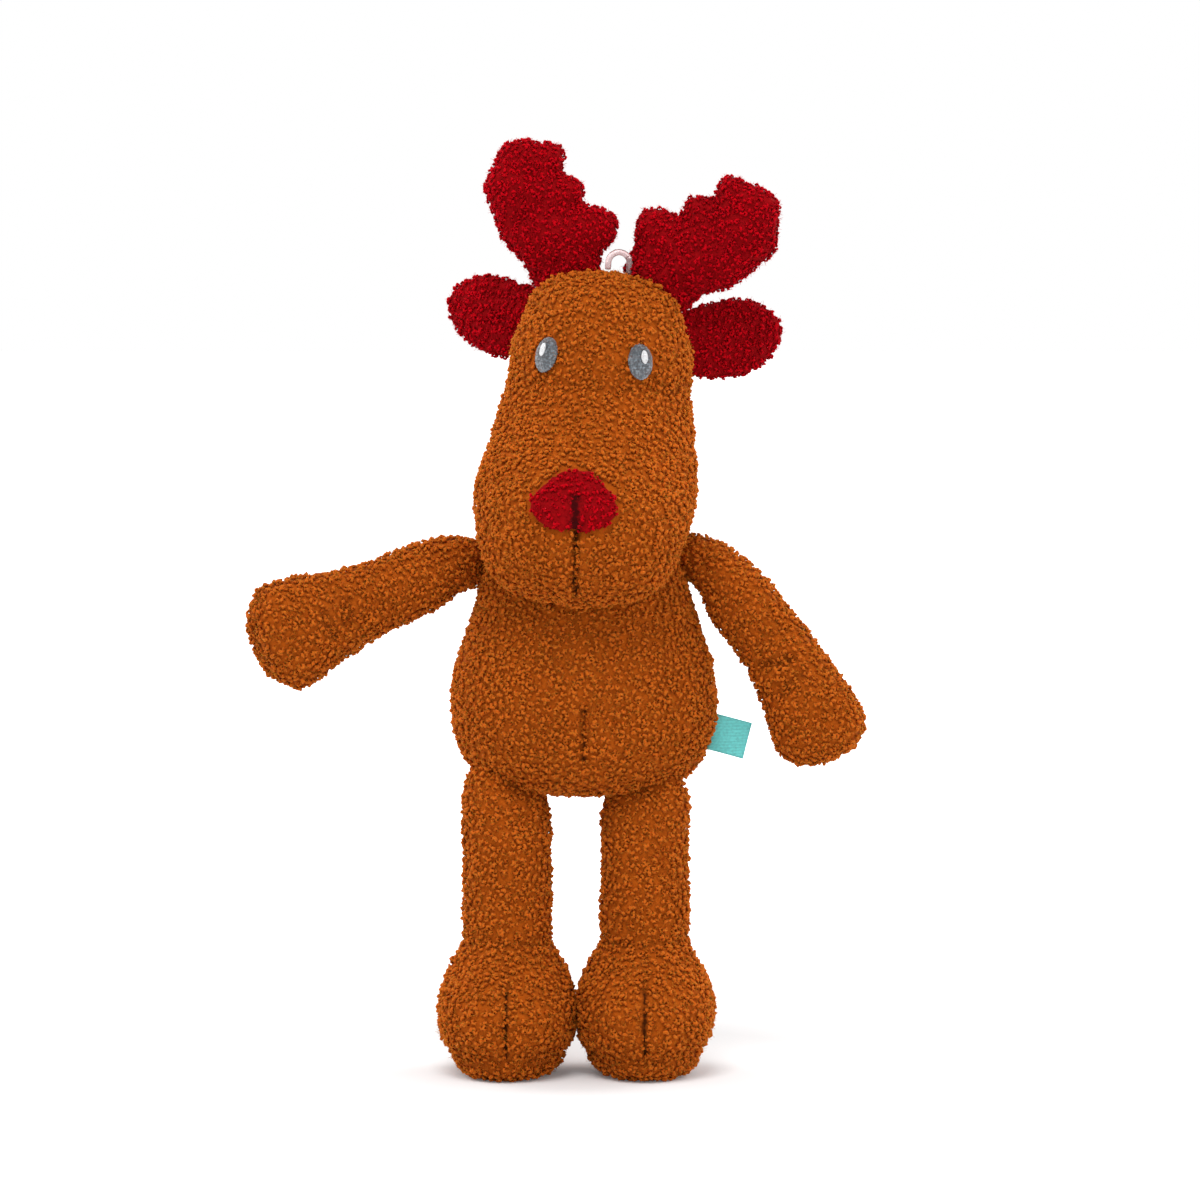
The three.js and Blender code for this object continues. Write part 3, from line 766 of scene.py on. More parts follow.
def curl_rings(places, leans, sunk, nearness, yarn, rng):
    """One curl of yarn at each place: an arc whose feet lie in the skin, smaller in a seam."""
    count = len(places)
    first, second = frames_at(leans, rng.uniform(0, 2 * math.pi, count))
    tilt = np.radians(rng.uniform(*CURL_TILTS, count))[:, None]
    rise = second * np.cos(tilt) + leans * np.sin(tilt)
    across = np.cross(first, rise)
    size = yarn.radius * rng.uniform(*CURL_SHARES, count) * (1 - SEAM_CURL_LOSS * sunk)
    half = yarn.yarn * rng.uniform(*YARN_SHARES, count) * (1 - SEAM_YARN_LOSS * sunk)
    sweep = np.radians(rng.uniform(*CURL_SWEEPS, count))
    height = CURL_RAISED * size * np.sin(tilt[:, 0]) + YARN_RAISED * half
    height += CLUMP_HEIGHT * (nearness - NUB_MIDDLE)
    centre = places + leans * height[:, None]
    steps = np.linspace(0, 1, RINGS)
    turn = math.pi / 2 + (steps - 0.5) * sweep[:, None]
    twist = (rng.uniform(-CURL_TWIST, CURL_TWIST, count) * size)[:, None] * (steps - 0.5)
    outward = np.cos(turn)[..., None] * first[:, None] + np.sin(turn)[..., None] * rise[:, None]
    line = centre[:, None] + size[:, None, None] * outward + twist[..., None] * across[:, None]
    thick = half[:, None] * (END_SHARE + (1 - END_SHARE) * np.sin(math.pi * steps))
    sideways = np.broadcast_to(across[:, None], outward.shape)
    return tubes(line, thick, outward, sideways, RING_SIDES)


# How steeply a loose fibre stands, how far it bends aside and droops, its length and its taper
FIBRE_TILTS = (25, 80)
FIBRE_BEND = 0.6
FIBRE_DROOP = 0.5
FIBRE_SHARES = (1, 1.7)
FIBRE_TAPER = 0.5


def fibre_rings(places, leans, yarn, rng):
    """One loose fibre at each place, bent over outside the curls."""
    count = len(places)
    first, second = frames_at(leans, rng.uniform(0, 2 * math.pi, count))
    tilt = np.radians(rng.uniform(*FIBRE_TILTS, count))[:, None]
    way = first * np.cos(tilt) + leans * np.sin(tilt)
    bend = second * rng.uniform(-FIBRE_BEND, FIBRE_BEND, count)[:, None]
    bend -= leans * rng.uniform(0, FIBRE_DROOP, count)[:, None]
    steps = np.linspace(0, 1, FIBRE_RINGS)
    reach = (yarn.height * rng.uniform(*FIBRE_SHARES, count))[:, None, None]
    line = places[:, None] + reach * (
        steps[:, None] * way[:, None] + (steps**2)[:, None] * bend[:, None]
    )
    thick = yarn.fibre * np.broadcast_to(1 - FIBRE_TAPER * steps, (count, FIBRE_RINGS))
    aside = np.broadcast_to(second[:, None], line.shape)
    above = np.broadcast_to(np.cross(way, second)[:, None], line.shape)
    return tubes(line, thick, aside, above, FIBRE_SIDES)


def tube_corners(rings, sides):
    """The corners of a closed tube's faces as places along and round it, and each face's corner count."""
    corners, counts = [], []
    for ring in range(rings - 1):
        for side in range(sides):
            corners += [(ring, side), (ring, side + 1), (ring + 1, side + 1), (ring + 1, side)]
            counts.append(4)
    corners += [(0, side) for side in reversed(range(sides))]
    corners += [(rings - 1, side) for side in range(sides)]
    return np.array(corners), counts + [sides, sides]


CELL_MARGIN = 0.15


def strand_object(name, groups, tones, shade_levels):
    """One object of many tubes, with a tone for each strand, a rise for each point that sets its painted
    shade, and a map to bake to.
    """
    cells = math.ceil(math.sqrt(sum(len(group) for group in groups)))
    corners, counts, spots = [], [], []
    points = strands = 0
    for group in groups:
        count, rings, sides, _ = group.shape
        places, face_counts = tube_corners(rings, sides)
        own = places[:, 0] * sides + places[:, 1] % sides
        corners.append((points + np.arange(count)[:, None] * rings * sides + own).ravel())
        counts.append(np.tile(face_counts, count))
        number = strands + np.arange(count)
        cell = np.column_stack([number % cells, number // cells])[:, None]
        spot = CELL_MARGIN + (1 - 2 * CELL_MARGIN) * places / (rings - 1, sides)
        spots.append(((cell + spot) / cells).reshape(-1, 2))
        points += count * rings * sides
        strands += count
    corners, counts = np.concatenate(corners), np.concatenate(counts)
    mesh = bpy.data.meshes.new(name)
    mesh.vertices.add(points)
    mesh.loops.add(len(corners))
    mesh.polygons.add(len(counts))
    mesh.vertices.foreach_set("co", np.concatenate([group.ravel() for group in groups]).astype(np.float32))
    mesh.loops.foreach_set("vertex_index", corners.astype(np.int32))
    mesh.polygons.foreach_set("loop_start", (np.cumsum(counts) - counts).astype(np.int32))
    mesh.update(calc_edges=True)
    for attribute_name, values in (("tone", tones), ("rise", shade_levels)):
        layer = mesh.attributes.new(attribute_name, "FLOAT", "POINT")
        layer.data.foreach_set("value", values.astype(np.float32))
    bake = mesh.uv_layers.new(name="OFBake")
    bake.data.foreach_set("uv", np.concatenate(spots).astype(np.float32).ravel())
    mesh.shade_smooth()
    return linked(name, mesh)


# How high the pile stands, in its curls' radii and in its yarn's
RADII_HIGH = 1.6
YARNS_HIGH = 1.5


class Yarn:
    """One kind of pile: the size of its curls, its loose fibres and its material."""

    def __init__(self, kind, sheen, sheen_tint):
        pile, colours = bpy.context.scene.deer_pile, bpy.context.scene.deer_colours
        self.spacing, self.radius, self.yarn, self.fuzz = (
            getattr(pile, f"{kind}_{setting}") for setting in ("spacing", "radius", "yarn", "fuzz")
        )
        self.fibre = pile.fibre
        self.height = RADII_HIGH * self.radius + YARNS_HIGH * self.yarn
        light, dark = getattr(colours, f"{kind}_light"), getattr(colours, f"{kind}_dark")
        self.material = pile_material(f"{kind}_curls", light, dark, sheen, sheen_tint)
        self.slot = f"{kind}_pile"


FLOOR_CLEARANCE = 0.15 * MM
BARE_PULL = 0.75
# The painted shade at a loose fibre's root, which lightens towards its tip
FIBRE_ROOT_SHADE = 0.45


def grow_pile(skin, yarn, seed, bare=()):
    """Covers a skin in curls and loose fibres, with none in its seams or where a test says bare."""
    rng = np.random.default_rng(seed)
    places, leans = scattered(skin.data, yarn.spacing, rng)
    keep = np.ones(len(places), bool)
    for test in bare:
        keep[keep] = ~test(places[keep], leans[keep])
    places, leans = places[keep], leans[keep]
    sunk = SEWINGS[skin.name].pull(places)
    open_ground = sunk < BARE_PULL
    places, leans, sunk = places[open_ground], leans[open_ground], sunk[open_ground]
    middles, _ = scattered(skin.data, CLUMP_SPACING, rng)
    places, nearness, nub_tones = clumped(places, middles, rng)
    curls = curl_rings(places, leans, sunk, nearness, yarn, rng)
    # A curl's height over its skin sets its painted shade: the lower a part lies, the darker it is
    # coloured, and it is darker still in a seam.
    over = np.einsum("nrsd,nd->nrs", curls - places[:, None, None], leans) / yarn.height
    curl_shade_levels = np.clip(over, 0, 1) * (1 - SEAM_SHADE_LOSS * sunk)[:, None, None]
    roots = rng.integers(0, len(places), int(yarn.fuzz * len(places)))
    fibres = fibre_rings(places[roots], leans[roots], yarn, rng)
    fibre_shade_levels = np.broadcast_to(
        np.linspace(FIBRE_ROOT_SHADE, 1, FIBRE_RINGS)[:, None], fibres.shape[:3],
    )
    for rings in (curls, fibres):
        rings[..., 2] = np.maximum(rings[..., 2], FLOOR_CLEARANCE)
    curl_tones = (nub_tones + rng.random(len(curls))) / 2
    tones = np.concatenate([
        np.repeat(curl_tones, RINGS * RING_SIDES),
        np.repeat(curl_tones[roots], FIBRE_RINGS * FIBRE_SIDES),
    ])
    shade_levels = np.concatenate([curl_shade_levels.ravel(), fibre_shade_levels.ravel()])
    pile = strand_object(f"{skin.name}_pile", (curls, fibres), tones, shade_levels)
    pile.data.materials.append(yarn.material)
    return pile


def limb_solids(*parts):
    """The sewn limbs of some kinds, on both sides."""
    return [Solid(sewn(f"{side}_{part}").data) for side in SIDES for part in parts]


def covered_by(solid, clearance):
    """A test for places that lie inside a neighbour or closer to it than the clearance."""
    return lambda places, leans: solid.holds(places, clearance)


def under(tree, height, reach):
    """A test for places that a patch lies over."""
    return lambda places, leans: distances(tree, places + leans * height) < reach


# Materials


def new_material(name):
    """A node material with its tree emptied down to a Principled shader and the output."""
    material = bpy.data.materials.new(name)
    material.use_nodes = True
    tree = material.node_tree
    return material, tree, tree.nodes["Principled BSDF"]


def set_inputs(node, values):
    """Sets the node's own sockets to constants."""
    for name, value in values.items():
        node.inputs[name].default_value = value


def attribute(tree, name):
    node = tree.nodes.new("ShaderNodeAttribute")
    node.attribute_name = name
    return node.outputs["Fac"]


def noise(tree, scale, detail=2.0, distortion=0.0):
    coordinates = tree.nodes.new("ShaderNodeTexCoord")
    texture = tree.nodes.new("ShaderNodeTexNoise")
    set_inputs(texture, {"Scale": scale, "Detail": detail, "Distortion": distortion})
    tree.links.new(coordinates.outputs["Object"], texture.inputs["Vector"])
    return texture.outputs["Fac"]


def mapped(tree, value, span, onto):
    node = tree.nodes.new("ShaderNodeMapRange")
    set_inputs(node, dict(zip(("From Min", "From Max", "To Min", "To Max"), (*span, *onto))))
    tree.links.new(value, node.inputs["Value"])
    return node.outputs["Result"]


def combined(tree, operation, first, second):
    node = tree.nodes.new("ShaderNodeMath")
    node.operation = operation
    for socket, value in zip(node.inputs, (first, second)):
        if isinstance(value, (int, float)):
            socket.default_value = value
        else:
            tree.links.new(value, socket)
    return node.outputs["Value"]


def ramp(tree, value, stops):
    node = tree.nodes.new("ShaderNodeValToRGB")
    elements = node.color_ramp.elements
    while len(elements) < len(stops):
        elements.new(0.5)
    for element, (position, colour) in zip(elements, stops):
        element.position = position
        element.color = (*colour, 1)
    tree.links.new(value, node.inputs["Fac"])
    return node.outputs["Color"]


def bumped(tree, shader, height, distance, strength=1.0):
    node = tree.nodes.new("ShaderNodeBump")
    set_inputs(node, {"Distance": distance, "Strength": strength})
    tree.links.new(height, node.inputs["Height"])
    tree.links.new(node.outputs["Normal"], shader.inputs["Normal"])


def paint(tree, shader, level, stops, values):
    """Colours a shader by a level through a ramp, and sets its other values."""
    tree.links.new(ramp(tree, level, stops), shader.inputs["Base Color"])
    set_inputs(shader, values)


def scaled(colour, factor):
    return tuple(factor * channel for channel in colour)


# How much of a curl's colour comes from its height, as painted shade that darkens it towards the skin, from
# its own tone, and from patches and fibres
RISE_SHADE_WEIGHT = 0.6
TONE_WEIGHT = 0.3
MOTTLE = (-0.12, 0.12)


def pile_material(name, light, dark, sheen, sheen_tint):
    """Curly yarn: each curl its own tone, darker towards its roots by painted shade, with fine twisted
    fibres.
    """
    material, tree, shader = new_material(name)
    tone = combined(tree, "MULTIPLY", attribute(tree, "tone"), TONE_WEIGHT)
    rise = combined(tree, "MULTIPLY", attribute(tree, "rise"), RISE_SHADE_WEIGHT)
    patches = mapped(tree, noise(tree, scale=60, detail=3), (0.3, 0.7), MOTTLE)
    fibres = mapped(tree, noise(tree, scale=1500, distortion=1.5), (0.3, 0.7), MOTTLE)
    lit = combined(tree, "ADD", combined(tree, "ADD", rise, tone), patches)
    # The ramp runs from the dark colour, partly painted shade, to the light colour, partly painted
    # highlight.
    stops = [(0.0, scaled(dark, 0.8)), (0.2, dark), (0.6, light), (1.0, scaled(light, 1.12))]
    paint(tree, shader, combined(tree, "ADD", lit, fibres), stops, {
        "Roughness": 0.85, "Specular IOR Level": 0.05,
        "Subsurface Weight": 0.4, "Subsurface Radius": (1, 0.4, 0.2), "Subsurface Scale": 1.2 * MM,
        "Sheen Weight": sheen, "Sheen Roughness": 0.5, "Sheen Tint": (*sheen_tint, 1),
    })
    bumped(tree, shader, noise(tree, scale=2600, distortion=1.5), distance=0.25 * MM, strength=0.6)
    return material


def backing_material(name, dark):
    """The knitted backing that shows between the curls, in the pile's dark colour as painted shade, with
    more painted shade in the seams and creases.
    """
    material, tree, shader = new_material(name)
    # Painted shade: the backing darkens where seams and creases pull it in.
    shade = mapped(tree, attribute(tree, "sunk"), (0, 1), (0, -0.6))
    level = combined(tree, "ADD", noise(tree, scale=420, detail=3), shade)
    stops = [(0.0, scaled(dark, 0.18)), (0.3, scaled(dark, 0.9)), (0.7, scaled(dark, 1.3))]
    paint(tree, shader, level, stops, {"Roughness": 0.95, "Specular IOR Level": 0.1})
    bumped(tree, shader, noise(tree, scale=700, detail=3), distance=0.6 * MM)
    return material


# Sewing the pieces

INSET = 0.95 * MM
FINE_INSET = 0.45 * MM
NOSE_INSET = 0.9 * MM
FINE_EASE = 0.5
BACKINGS = {}


def backing(kind):
    """The shared backing material of one kind of pile."""
    if kind not in BACKINGS:
        dark = getattr(bpy.context.scene.deer_colours, f"{kind}_dark")
        BACKINGS[kind] = backing_material(f"{kind}_backing", dark)
    return BACKINGS[kind]


def finish_skin(piece, nodes, kind):
    """Gives the skin its material, and hides the nodes that it covers."""
    piece.data.materials.append(backing(kind))
    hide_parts(*nodes)


def hang(piece):
    """Bakes a piece's place into its mesh."""
    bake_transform(piece)


def sew_limb(limb, sewing):
    """A limb's skin, with its root carried into what it is sewn to."""
    settings = bpy.context.scene.deer_skin
    grid, inset, ease = settings.grid, INSET, 1
    if limb.pile == "crimson":
        grid, inset, ease = settings.fine_grid, FINE_INSET, FINE_EASE
    meshes = [*node_meshes(*limb.nodes), root_block(limb)]
    piece = smooth_skin(limb.body, meshes, grid, settings.smoothing)
    stuff(piece, sewing, settings, ease)
    sew(piece, sewing, inset, settings)
    finish_skin(piece, limb.nodes, limb.pile)
    hang(piece)


def sew_pair(part, share, creases=None, pressed=0.0):
    """Both limbs of one kind, pressed flatter where they lean against the body."""
    against = node_tree(*BODY_COVERS) if pressed else None
    for side in SIDES:
        limb = Limb(side, part)
        lines = creases(limb) if creases else []
        sew_limb(limb, Sewing(limb.covers, share, creases=lines, against=against, pressed=pressed))


def sew_trunk(name, body, nodes, sewing):
    """The skin of the body or of the head."""
    settings = bpy.context.scene.deer_skin
    piece = smooth_skin(name, node_meshes(*nodes), settings.grid, settings.smoothing)
    stuff(piece, sewing, settings, 1)
    sew(piece, sewing, INSET, settings)
    finish_skin(piece, nodes, "brown")
    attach(piece, body)


def sewn(name):
    """A skin that an earlier operator made."""
    return bpy.data.objects[name]


BODY_COVERS = ("body_front_cover", "body_back_cover")
HEAD_COVERS = ("forehead_cover", "muzzle_cover", "head_back_cover")

# How strongly the seams of each piece draw it in
BODY_SEAMS = 0.5
HEAD_SEAMS = 0.5
FOREHEAD_SHARE = 0.35
ARM_SEAMS = 0.5
LEG_SEAMS = 0.35
EAR_SEAMS = 0
ANTLER_SEAMS = 0.25


class DEER_OT_body(bpy.types.Operator):
    """Sew the body's skin, with its belly dart"""

    bl_idname = "deer.body"
    bl_label = "Body"

    def execute(self, context):
        nodes = frame["record"]["behaviour"]["bodies"]["torso"]
        sewing = Sewing(BODY_COVERS, BODY_SEAMS, creases=[belly_dart()])
        sew_trunk("body", "torso", nodes, sewing)
        return {"FINISHED"}


class DEER_OT_head(bpy.types.Operator):
    """Sew the head's skin, with the seam from its nose to its chin"""

    bl_idname = "deer.head"
    bl_label = "Head"

    def execute(self, context):
        light = [("forehead_cover", FOREHEAD_SHARE)]
        sewing = Sewing(HEAD_COVERS, HEAD_SEAMS, light=light, creases=[mouth_seam()])
        sew_trunk("head", "head", (*HEAD_COVERS, "head_stuffing"), sewing)
        return {"FINISHED"}


class DEER_OT_arms(bpy.types.Operator):
    """Sew both arms, wrinkled inside their elbows"""

    bl_idname = "deer.arms"
    bl_label = "Arms"

    def execute(self, context):
        sew_pair("arm", ARM_SEAMS, elbow_creases, pressed=1.5 * MM)
        return {"FINISHED"}


class DEER_OT_legs(bpy.types.Operator):
    """Sew both legs with their feet"""

    bl_idname = "deer.legs"
    bl_label = "Legs"

    def execute(self, context):
        sew_pair("leg", LEG_SEAMS, toe_seams, pressed=2.5 * MM)
        return {"FINISHED"}


class DEER_OT_ears(bpy.types.Operator):
    """Sew both ears"""

    bl_idname = "deer.ears"
    bl_label = "Ears"

    def execute(self, context):
        sew_pair("ear", EAR_SEAMS)
        return {"FINISHED"}


class DEER_OT_antlers(bpy.types.Operator):
    """Sew both antlers"""

    bl_idname = "deer.antlers"
    bl_label = "Antlers"

    def execute(self, context):
        sew_pair("antler", ANTLER_SEAMS)
        return {"FINISHED"}


class DEER_OT_nose(bpy.types.Operator):
    """Sew the nose patch, creased down its lower half"""

    bl_idname = "deer.nose"
    bl_label = "Nose"

    def execute(self, context):
        settings = context.scene.deer_skin
        piece = smooth_skin("nose", node_meshes("nose_patch"), settings.nose_grid, settings.smoothing)
        sew(piece, Sewing(creases=[nose_crease()]), NOSE_INSET, settings, most_share=0.6)
        finish_skin(piece, ["nose_patch"], "crimson")
        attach(piece, "head")
        return {"FINISHED"}


SHEENS = {"brown": (0.12, (1, 0.42, 0.16)), "crimson": (0.08, (1, 0.02, 0.08))}


# How far the pile keeps from its skin's neighbours, and how closely a patch has to lie over it
BODY_CLEARANCE = 0.6 * MM
HEAD_CLEARANCE = 1 * MM
LIMB_CLEARANCE = 0.3 * MM
NOSE_CLEARANCE = 0.2 * MM
NOSE_COVER = 0.9 * MM
EYE_COVER = 0.35 * MM


class DEER_OT_pile(bpy.types.Operator):
    """Grow the brown and crimson curls on every skin"""

    bl_idname = "deer.pile"
    bl_label = "Pile"

    def execute(self, context):
        seed = context.scene.deer_pile.seed
        yarns = {kind: Yarn(kind, *SHEENS[kind]) for kind in SHEENS}
        head, body = Solid(sewn("head").data), Solid(sewn("body").data)
        trunks = {"torso": body, "head": head}

        covering = [covered_by(solid, BODY_CLEARANCE) for solid in (head, *limb_solids("arm", "leg"))]
        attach(grow_pile(sewn("body"), yarns["brown"], seed, covering), "torso")

        covering = [covered_by(body, HEAD_CLEARANCE)]
        covering += [covered_by(solid, LIMB_CLEARANCE) for solid in limb_solids("ear", "antler")]
        covering.append(under(node_tree("nose_patch"), INSET, NOSE_COVER))
        covering.append(under(node_tree("right_eye", "left_eye"), INSET, EYE_COVER))
        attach(grow_pile(sewn("head"), yarns["brown"], seed + 1, covering), "head")

        for number, side in enumerate(SIDES):
            for row, part in enumerate(LIMBS, start=1):
                limb = Limb(side, part)
                covering = [covered_by(trunks[limb.parent], LIMB_CLEARANCE)]
                hang(grow_pile(sewn(limb.body), yarns[limb.pile], seed + 2 * row + number, covering))
        covering = [covered_by(head, NOSE_CLEARANCE)]
        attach(grow_pile(sewn("nose"), yarns["crimson"], seed + 10, covering), "head")
        return {"FINISHED"}


# Eyes, label and loop


# Each thread: its tones and the scale of its speckles
THREADS = {
    "grey_thread": (
        [(0.0, (0.03, 0.035, 0.04)), (0.5, (0.11, 0.125, 0.14)), (1.0, (0.32, 0.36, 0.4))], 1100,
    ),
    "white_thread": ([(0.0, (0.7, 0.7, 0.72)), (1.0, (0.95, 0.95, 0.95))], 900),
}

# Each patch of stitches: its name, its node, half its thread's thickness and its thread
PATCHES = (("eye", "eye", 0.2 * MM, "grey_thread"), ("glint", "eye_glint", 0.18 * MM, "white_thread"))


def thread_material(name, stops, speckle):
    """Glossy embroidery thread, speckled along its length."""
    material, tree, shader = new_material(name)
    tone = combined(tree, "MULTIPLY", attribute(tree, "tone"), 0.2)
    speckles = mapped(tree, noise(tree, scale=speckle, detail=3), (0.35, 0.65), (0.1, 0.9))
    level = combined(tree, "ADD", tone, combined(tree, "MULTIPLY", speckles, 0.8))
    paint(tree, shader, level, stops, {"Roughness": 0.45, "Sheen Weight": 0.15})
    return material


class DEER_OT_eyes(bpy.types.Operator):
    """Embroider the eyes and their glints in satin stitch"""

    bl_idname = "deer.eyes"
    bl_label = "Eyes"

    def execute(self, context):
        materials = {name: thread_material(name, *look) for name, look in THREADS.items()}
        rng = np.random.default_rng(STITCH_SEED)
        for side in SIDES:
            for name, node, half, thread in PATCHES:
                piece = stitched(f"{side}_{name}_stitches", f"{side}_{node}", half, rng)
                piece.data.materials.append(materials[thread])
        return {"FINISHED"}


STITCH_SEED = 41
STITCH_POINTS = 9
STITCH_SIDES = 4
STITCH_SHARES = (0.85, 1.15)
OUTLINE_TRIES = 41

# The rows' pitch in half threads, how sharply a stitch turns in at its ends, and the way to a patch
ROW_PITCH = 1.7
END_POWER = 4
APPROACH = 20 * MM


def stitched(name, node, thread, rng):
    """Rows of thread side by side over a patch's outer face, square to its long way."""
    points = node_points(node)
    middle = points.mean(0)
    outward = -np.array(INWARD, float)
    flat = (points - middle) * (1 + outward)
    long_way = np.linalg.svd(flat, full_matrices=False)[2][0]
    long_way *= math.copysign(1, long_way[2])
    short_way = np.cross(outward, long_way)
    half_long, half_short = np.abs(flat @ long_way).max(), np.abs(flat @ short_way).max()
    tree = node_tree(node)

    def on_patch(spot):
        return tree.ray_cast(Vector(spot + outward * APPROACH), Vector(INWARD))[0]

    rows = int(2 * half_long / (ROW_PITCH * thread))
    lines = []
    across = short_way * half_short * np.linspace(-1, 1, OUTLINE_TRIES)[:, None]
    for along in half_long * (2 * (np.arange(rows) + 0.5) / rows - 1):
        tries = middle + long_way * along + across
        found = [spot for spot in tries if on_patch(spot)]
        if len(found) > 1:
            run = np.linspace(found[0], found[-1], STITCH_POINTS)
            lines.append([np.array(on_patch(spot) or spot) for spot in run])
    lines = np.array(lines)
    ends = np.linspace(-1, 1, STITCH_POINTS) ** END_POWER
    lines -= outward * thread * ends[:, None]
    thick = np.full(lines.shape[:2], thread) * rng.uniform(*STITCH_SHARES, len(lines))[:, None]
    rings = tubes(
        lines, thick, np.broadcast_to(long_way, lines.shape), np.broadcast_to(outward, lines.shape),
        STITCH_SIDES,
    )
    tones = np.repeat(rng.random(len(lines)), STITCH_POINTS * STITCH_SIDES)
    piece = strand_object(name, [rings], tones, np.ones(len(tones)))
    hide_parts(node)
    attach(piece, "head")
    return piece


TAPE_STEPS = 28
TAPE_ROWS = 13
TAPE_THICKNESS = 0.22 * MM

# How deep the tape's ends lie in the seam, half the gap in its fold, its waves and how far it sags
TAPE_ROOT = 2.5 * MM
TAPE_FOLD = 0.5 * MM
TAPE_WAVE = 0.7 * MM
TAPE_SAG = 1.4 * MM

# The wave's turn from the tape's middle to its edge, and its start
WAVE_TURN = 2.2
WAVE_START = 1


def folded_tape(pivot, outward, across, seam, reach, half_height):
    """The points of a tape folded once, row by row, with its faces and its unfolded length."""
    run = reach - TAPE_FOLD + TAPE_ROOT
    bend = math.pi * TAPE_FOLD
    length = 2 * run + bend
    points = []
    for row in np.linspace(-1, 1, TAPE_ROWS):
        for step in np.linspace(0, length, TAPE_STEPS):
            if step < run:
                out, over = step - TAPE_ROOT, -TAPE_FOLD
            elif step < run + bend:
                turn = (step - run) / TAPE_FOLD
                out, over = run - TAPE_ROOT + TAPE_FOLD * math.sin(turn), -TAPE_FOLD * math.cos(turn)
            else:
                out, over = length - TAPE_ROOT - step, TAPE_FOLD
            share = max(out, 0) / reach
            over += TAPE_WAVE * share * math.sin(WAVE_TURN * row + WAVE_START) - TAPE_SAG * share**2
            points.append(pivot + outward * out + across * over + seam * row * half_height)
    faces = []
    for row in range(TAPE_ROWS - 1):
        for step in range(TAPE_STEPS - 1):
            first = row * TAPE_STEPS + step
            faces.append((first, first + 1, first + TAPE_STEPS + 1, first + TAPE_STEPS))
    return points, faces, length


class DEER_OT_label(bpy.types.Operator):
    """Fold the side label from bare woven tape"""

    bl_idname = "deer.label"
    bl_label = "Label"

    def execute(self, context):
        points = node_points("side_label")
        joint = JOINTS["label_flap"]
        pivot, seam = np.array(joint["pos_m"]), np.array(joint["axis"])
        outward = np.cross(INWARD, seam)
        across = np.cross(seam, outward)
        reach = ((points - pivot) @ outward).max()
        half_height = np.abs((points - pivot) @ seam).max()
        places, faces, length = folded_tape(pivot, outward, across, seam, reach, half_height)
        mesh = bpy.data.meshes.new("woven_label")
        mesh.from_pydata(places, [], faces)
        mesh.shade_smooth()
        mesh.materials.append(tape_material(context.scene.deer_colours.teal))
        piece = linked("woven_label", mesh)
        solidify = piece.modifiers.new("Thickness", "SOLIDIFY")
        solidify.thickness = TAPE_THICKNESS
        apply_modifiers(piece)
        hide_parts("side_label")
        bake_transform(piece)
        return {"FINISHED"}


def tape_material(teal):
    """Satin-woven tape with fine ribs."""
    material, tree, shader = new_material("woven_tape")
    coordinates = tree.nodes.new("ShaderNodeTexCoord")
    ribs = tree.nodes.new("ShaderNodeTexWave")
    ribs.wave_type = "BANDS"
    ribs.bands_direction = "Z"
    set_inputs(ribs, {"Scale": 520, "Distortion": 0.6})
    tree.links.new(coordinates.outputs["Object"], ribs.inputs["Vector"])
    level = combined(tree, "MULTIPLY", ribs.outputs["Fac"], 0.5)
    level = combined(tree, "ADD", level, noise(tree, scale=900))
    stops = [(0.2, scaled(teal, 0.72)), (0.8, teal), (1.0, scaled(teal, 1.2))]
    paint(tree, shader, level, stops, {"Roughness": 0.55, "Sheen Weight": 0.2})
    bumped(tree, shader, ribs.outputs["Fac"], distance=0.12 * MM)
    return material


LOOP_GRID = 0.3 * MM
LOOP_SMOOTHING = 4
LOOP_SWELLING = 0.5 * MM


class DEER_OT_loop(bpy.types.Operator):
    """Round and thicken the clear cord of the hanging loop"""

    bl_idname = "deer.loop"
    bl_label = "Hanging loop"

    def execute(self, context):
        piece = smooth_skin("clear_loop", node_meshes("hanging_loop"), LOOP_GRID, LOOP_SMOOTHING)
        move_points(piece.data, points_of(piece.data) + normals_of(piece.data) * LOOP_SWELLING)
        material, tree, shader = new_material("clear_cord")
        # The cord is clear plastic; its pinkish grey is painted reflection of the crimson antlers and
        # painted shade.
        stops = [(0.3, (0.62, 0.42, 0.42)), (0.7, (0.85, 0.7, 0.7))]
        clear = {"Roughness": 0.12, "Transmission Weight": 0.7, "IOR": 1.45}
        paint(tree, shader, noise(tree, scale=300), stops, clear)
        piece.data.materials.append(material)
        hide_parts("hanging_loop")
        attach(piece, "loop")
        return {"FINISHED"}


# Stage


FLOOR_REACH = 6.0
FLOOR_ALBEDO = 0.8
SENSOR_WIDTH = 36
CLIP_END = 20
WORLD_LIGHT = 0.78

# The floor's white glow and where it starts and is full, in metres from the middle
GLOW_START, GLOW_END = 0.12, 0.5
GLOW_LEAST = 0.08

# Each softbox: its name, its place and size in metres, and its power in watts
LAMPS = (
    ("key", (-0.3, -1.5, 2.6), 1.3, 42),
    ("fill", (1.7, -1.7, 1.0), 1.5, 8),
    ("rim_left", (-1.6, 0.9, 0.9), 1.2, 14),
    ("rim_right", (1.6, 0.9, 0.9), 1.2, 14),
)


def soft_lamp(aim, name, place, size, power):
    """A plain softbox that faces the toy."""
    lamp = bpy.data.lights.new(name, "AREA")
    lamp.shape = "SQUARE"
    lamp.size = size
    lamp.energy = power
    holder = linked(name, lamp)
    holder.location = place
    holder.rotation_euler = (aim - Vector(place)).to_track_quat("-Z", "Y").to_euler()


def seen_rays(tree):
    """1 for what the camera sees, straight or through a reflection, and nought for light."""
    path = tree.nodes.new("ShaderNodeLightPath")
    seen = path.outputs["Is Camera Ray"]
    for ray in ("Is Glossy Ray", "Is Transmission Ray"):
        seen = combined(tree, "MAXIMUM", seen, path.outputs[ray])
    return seen


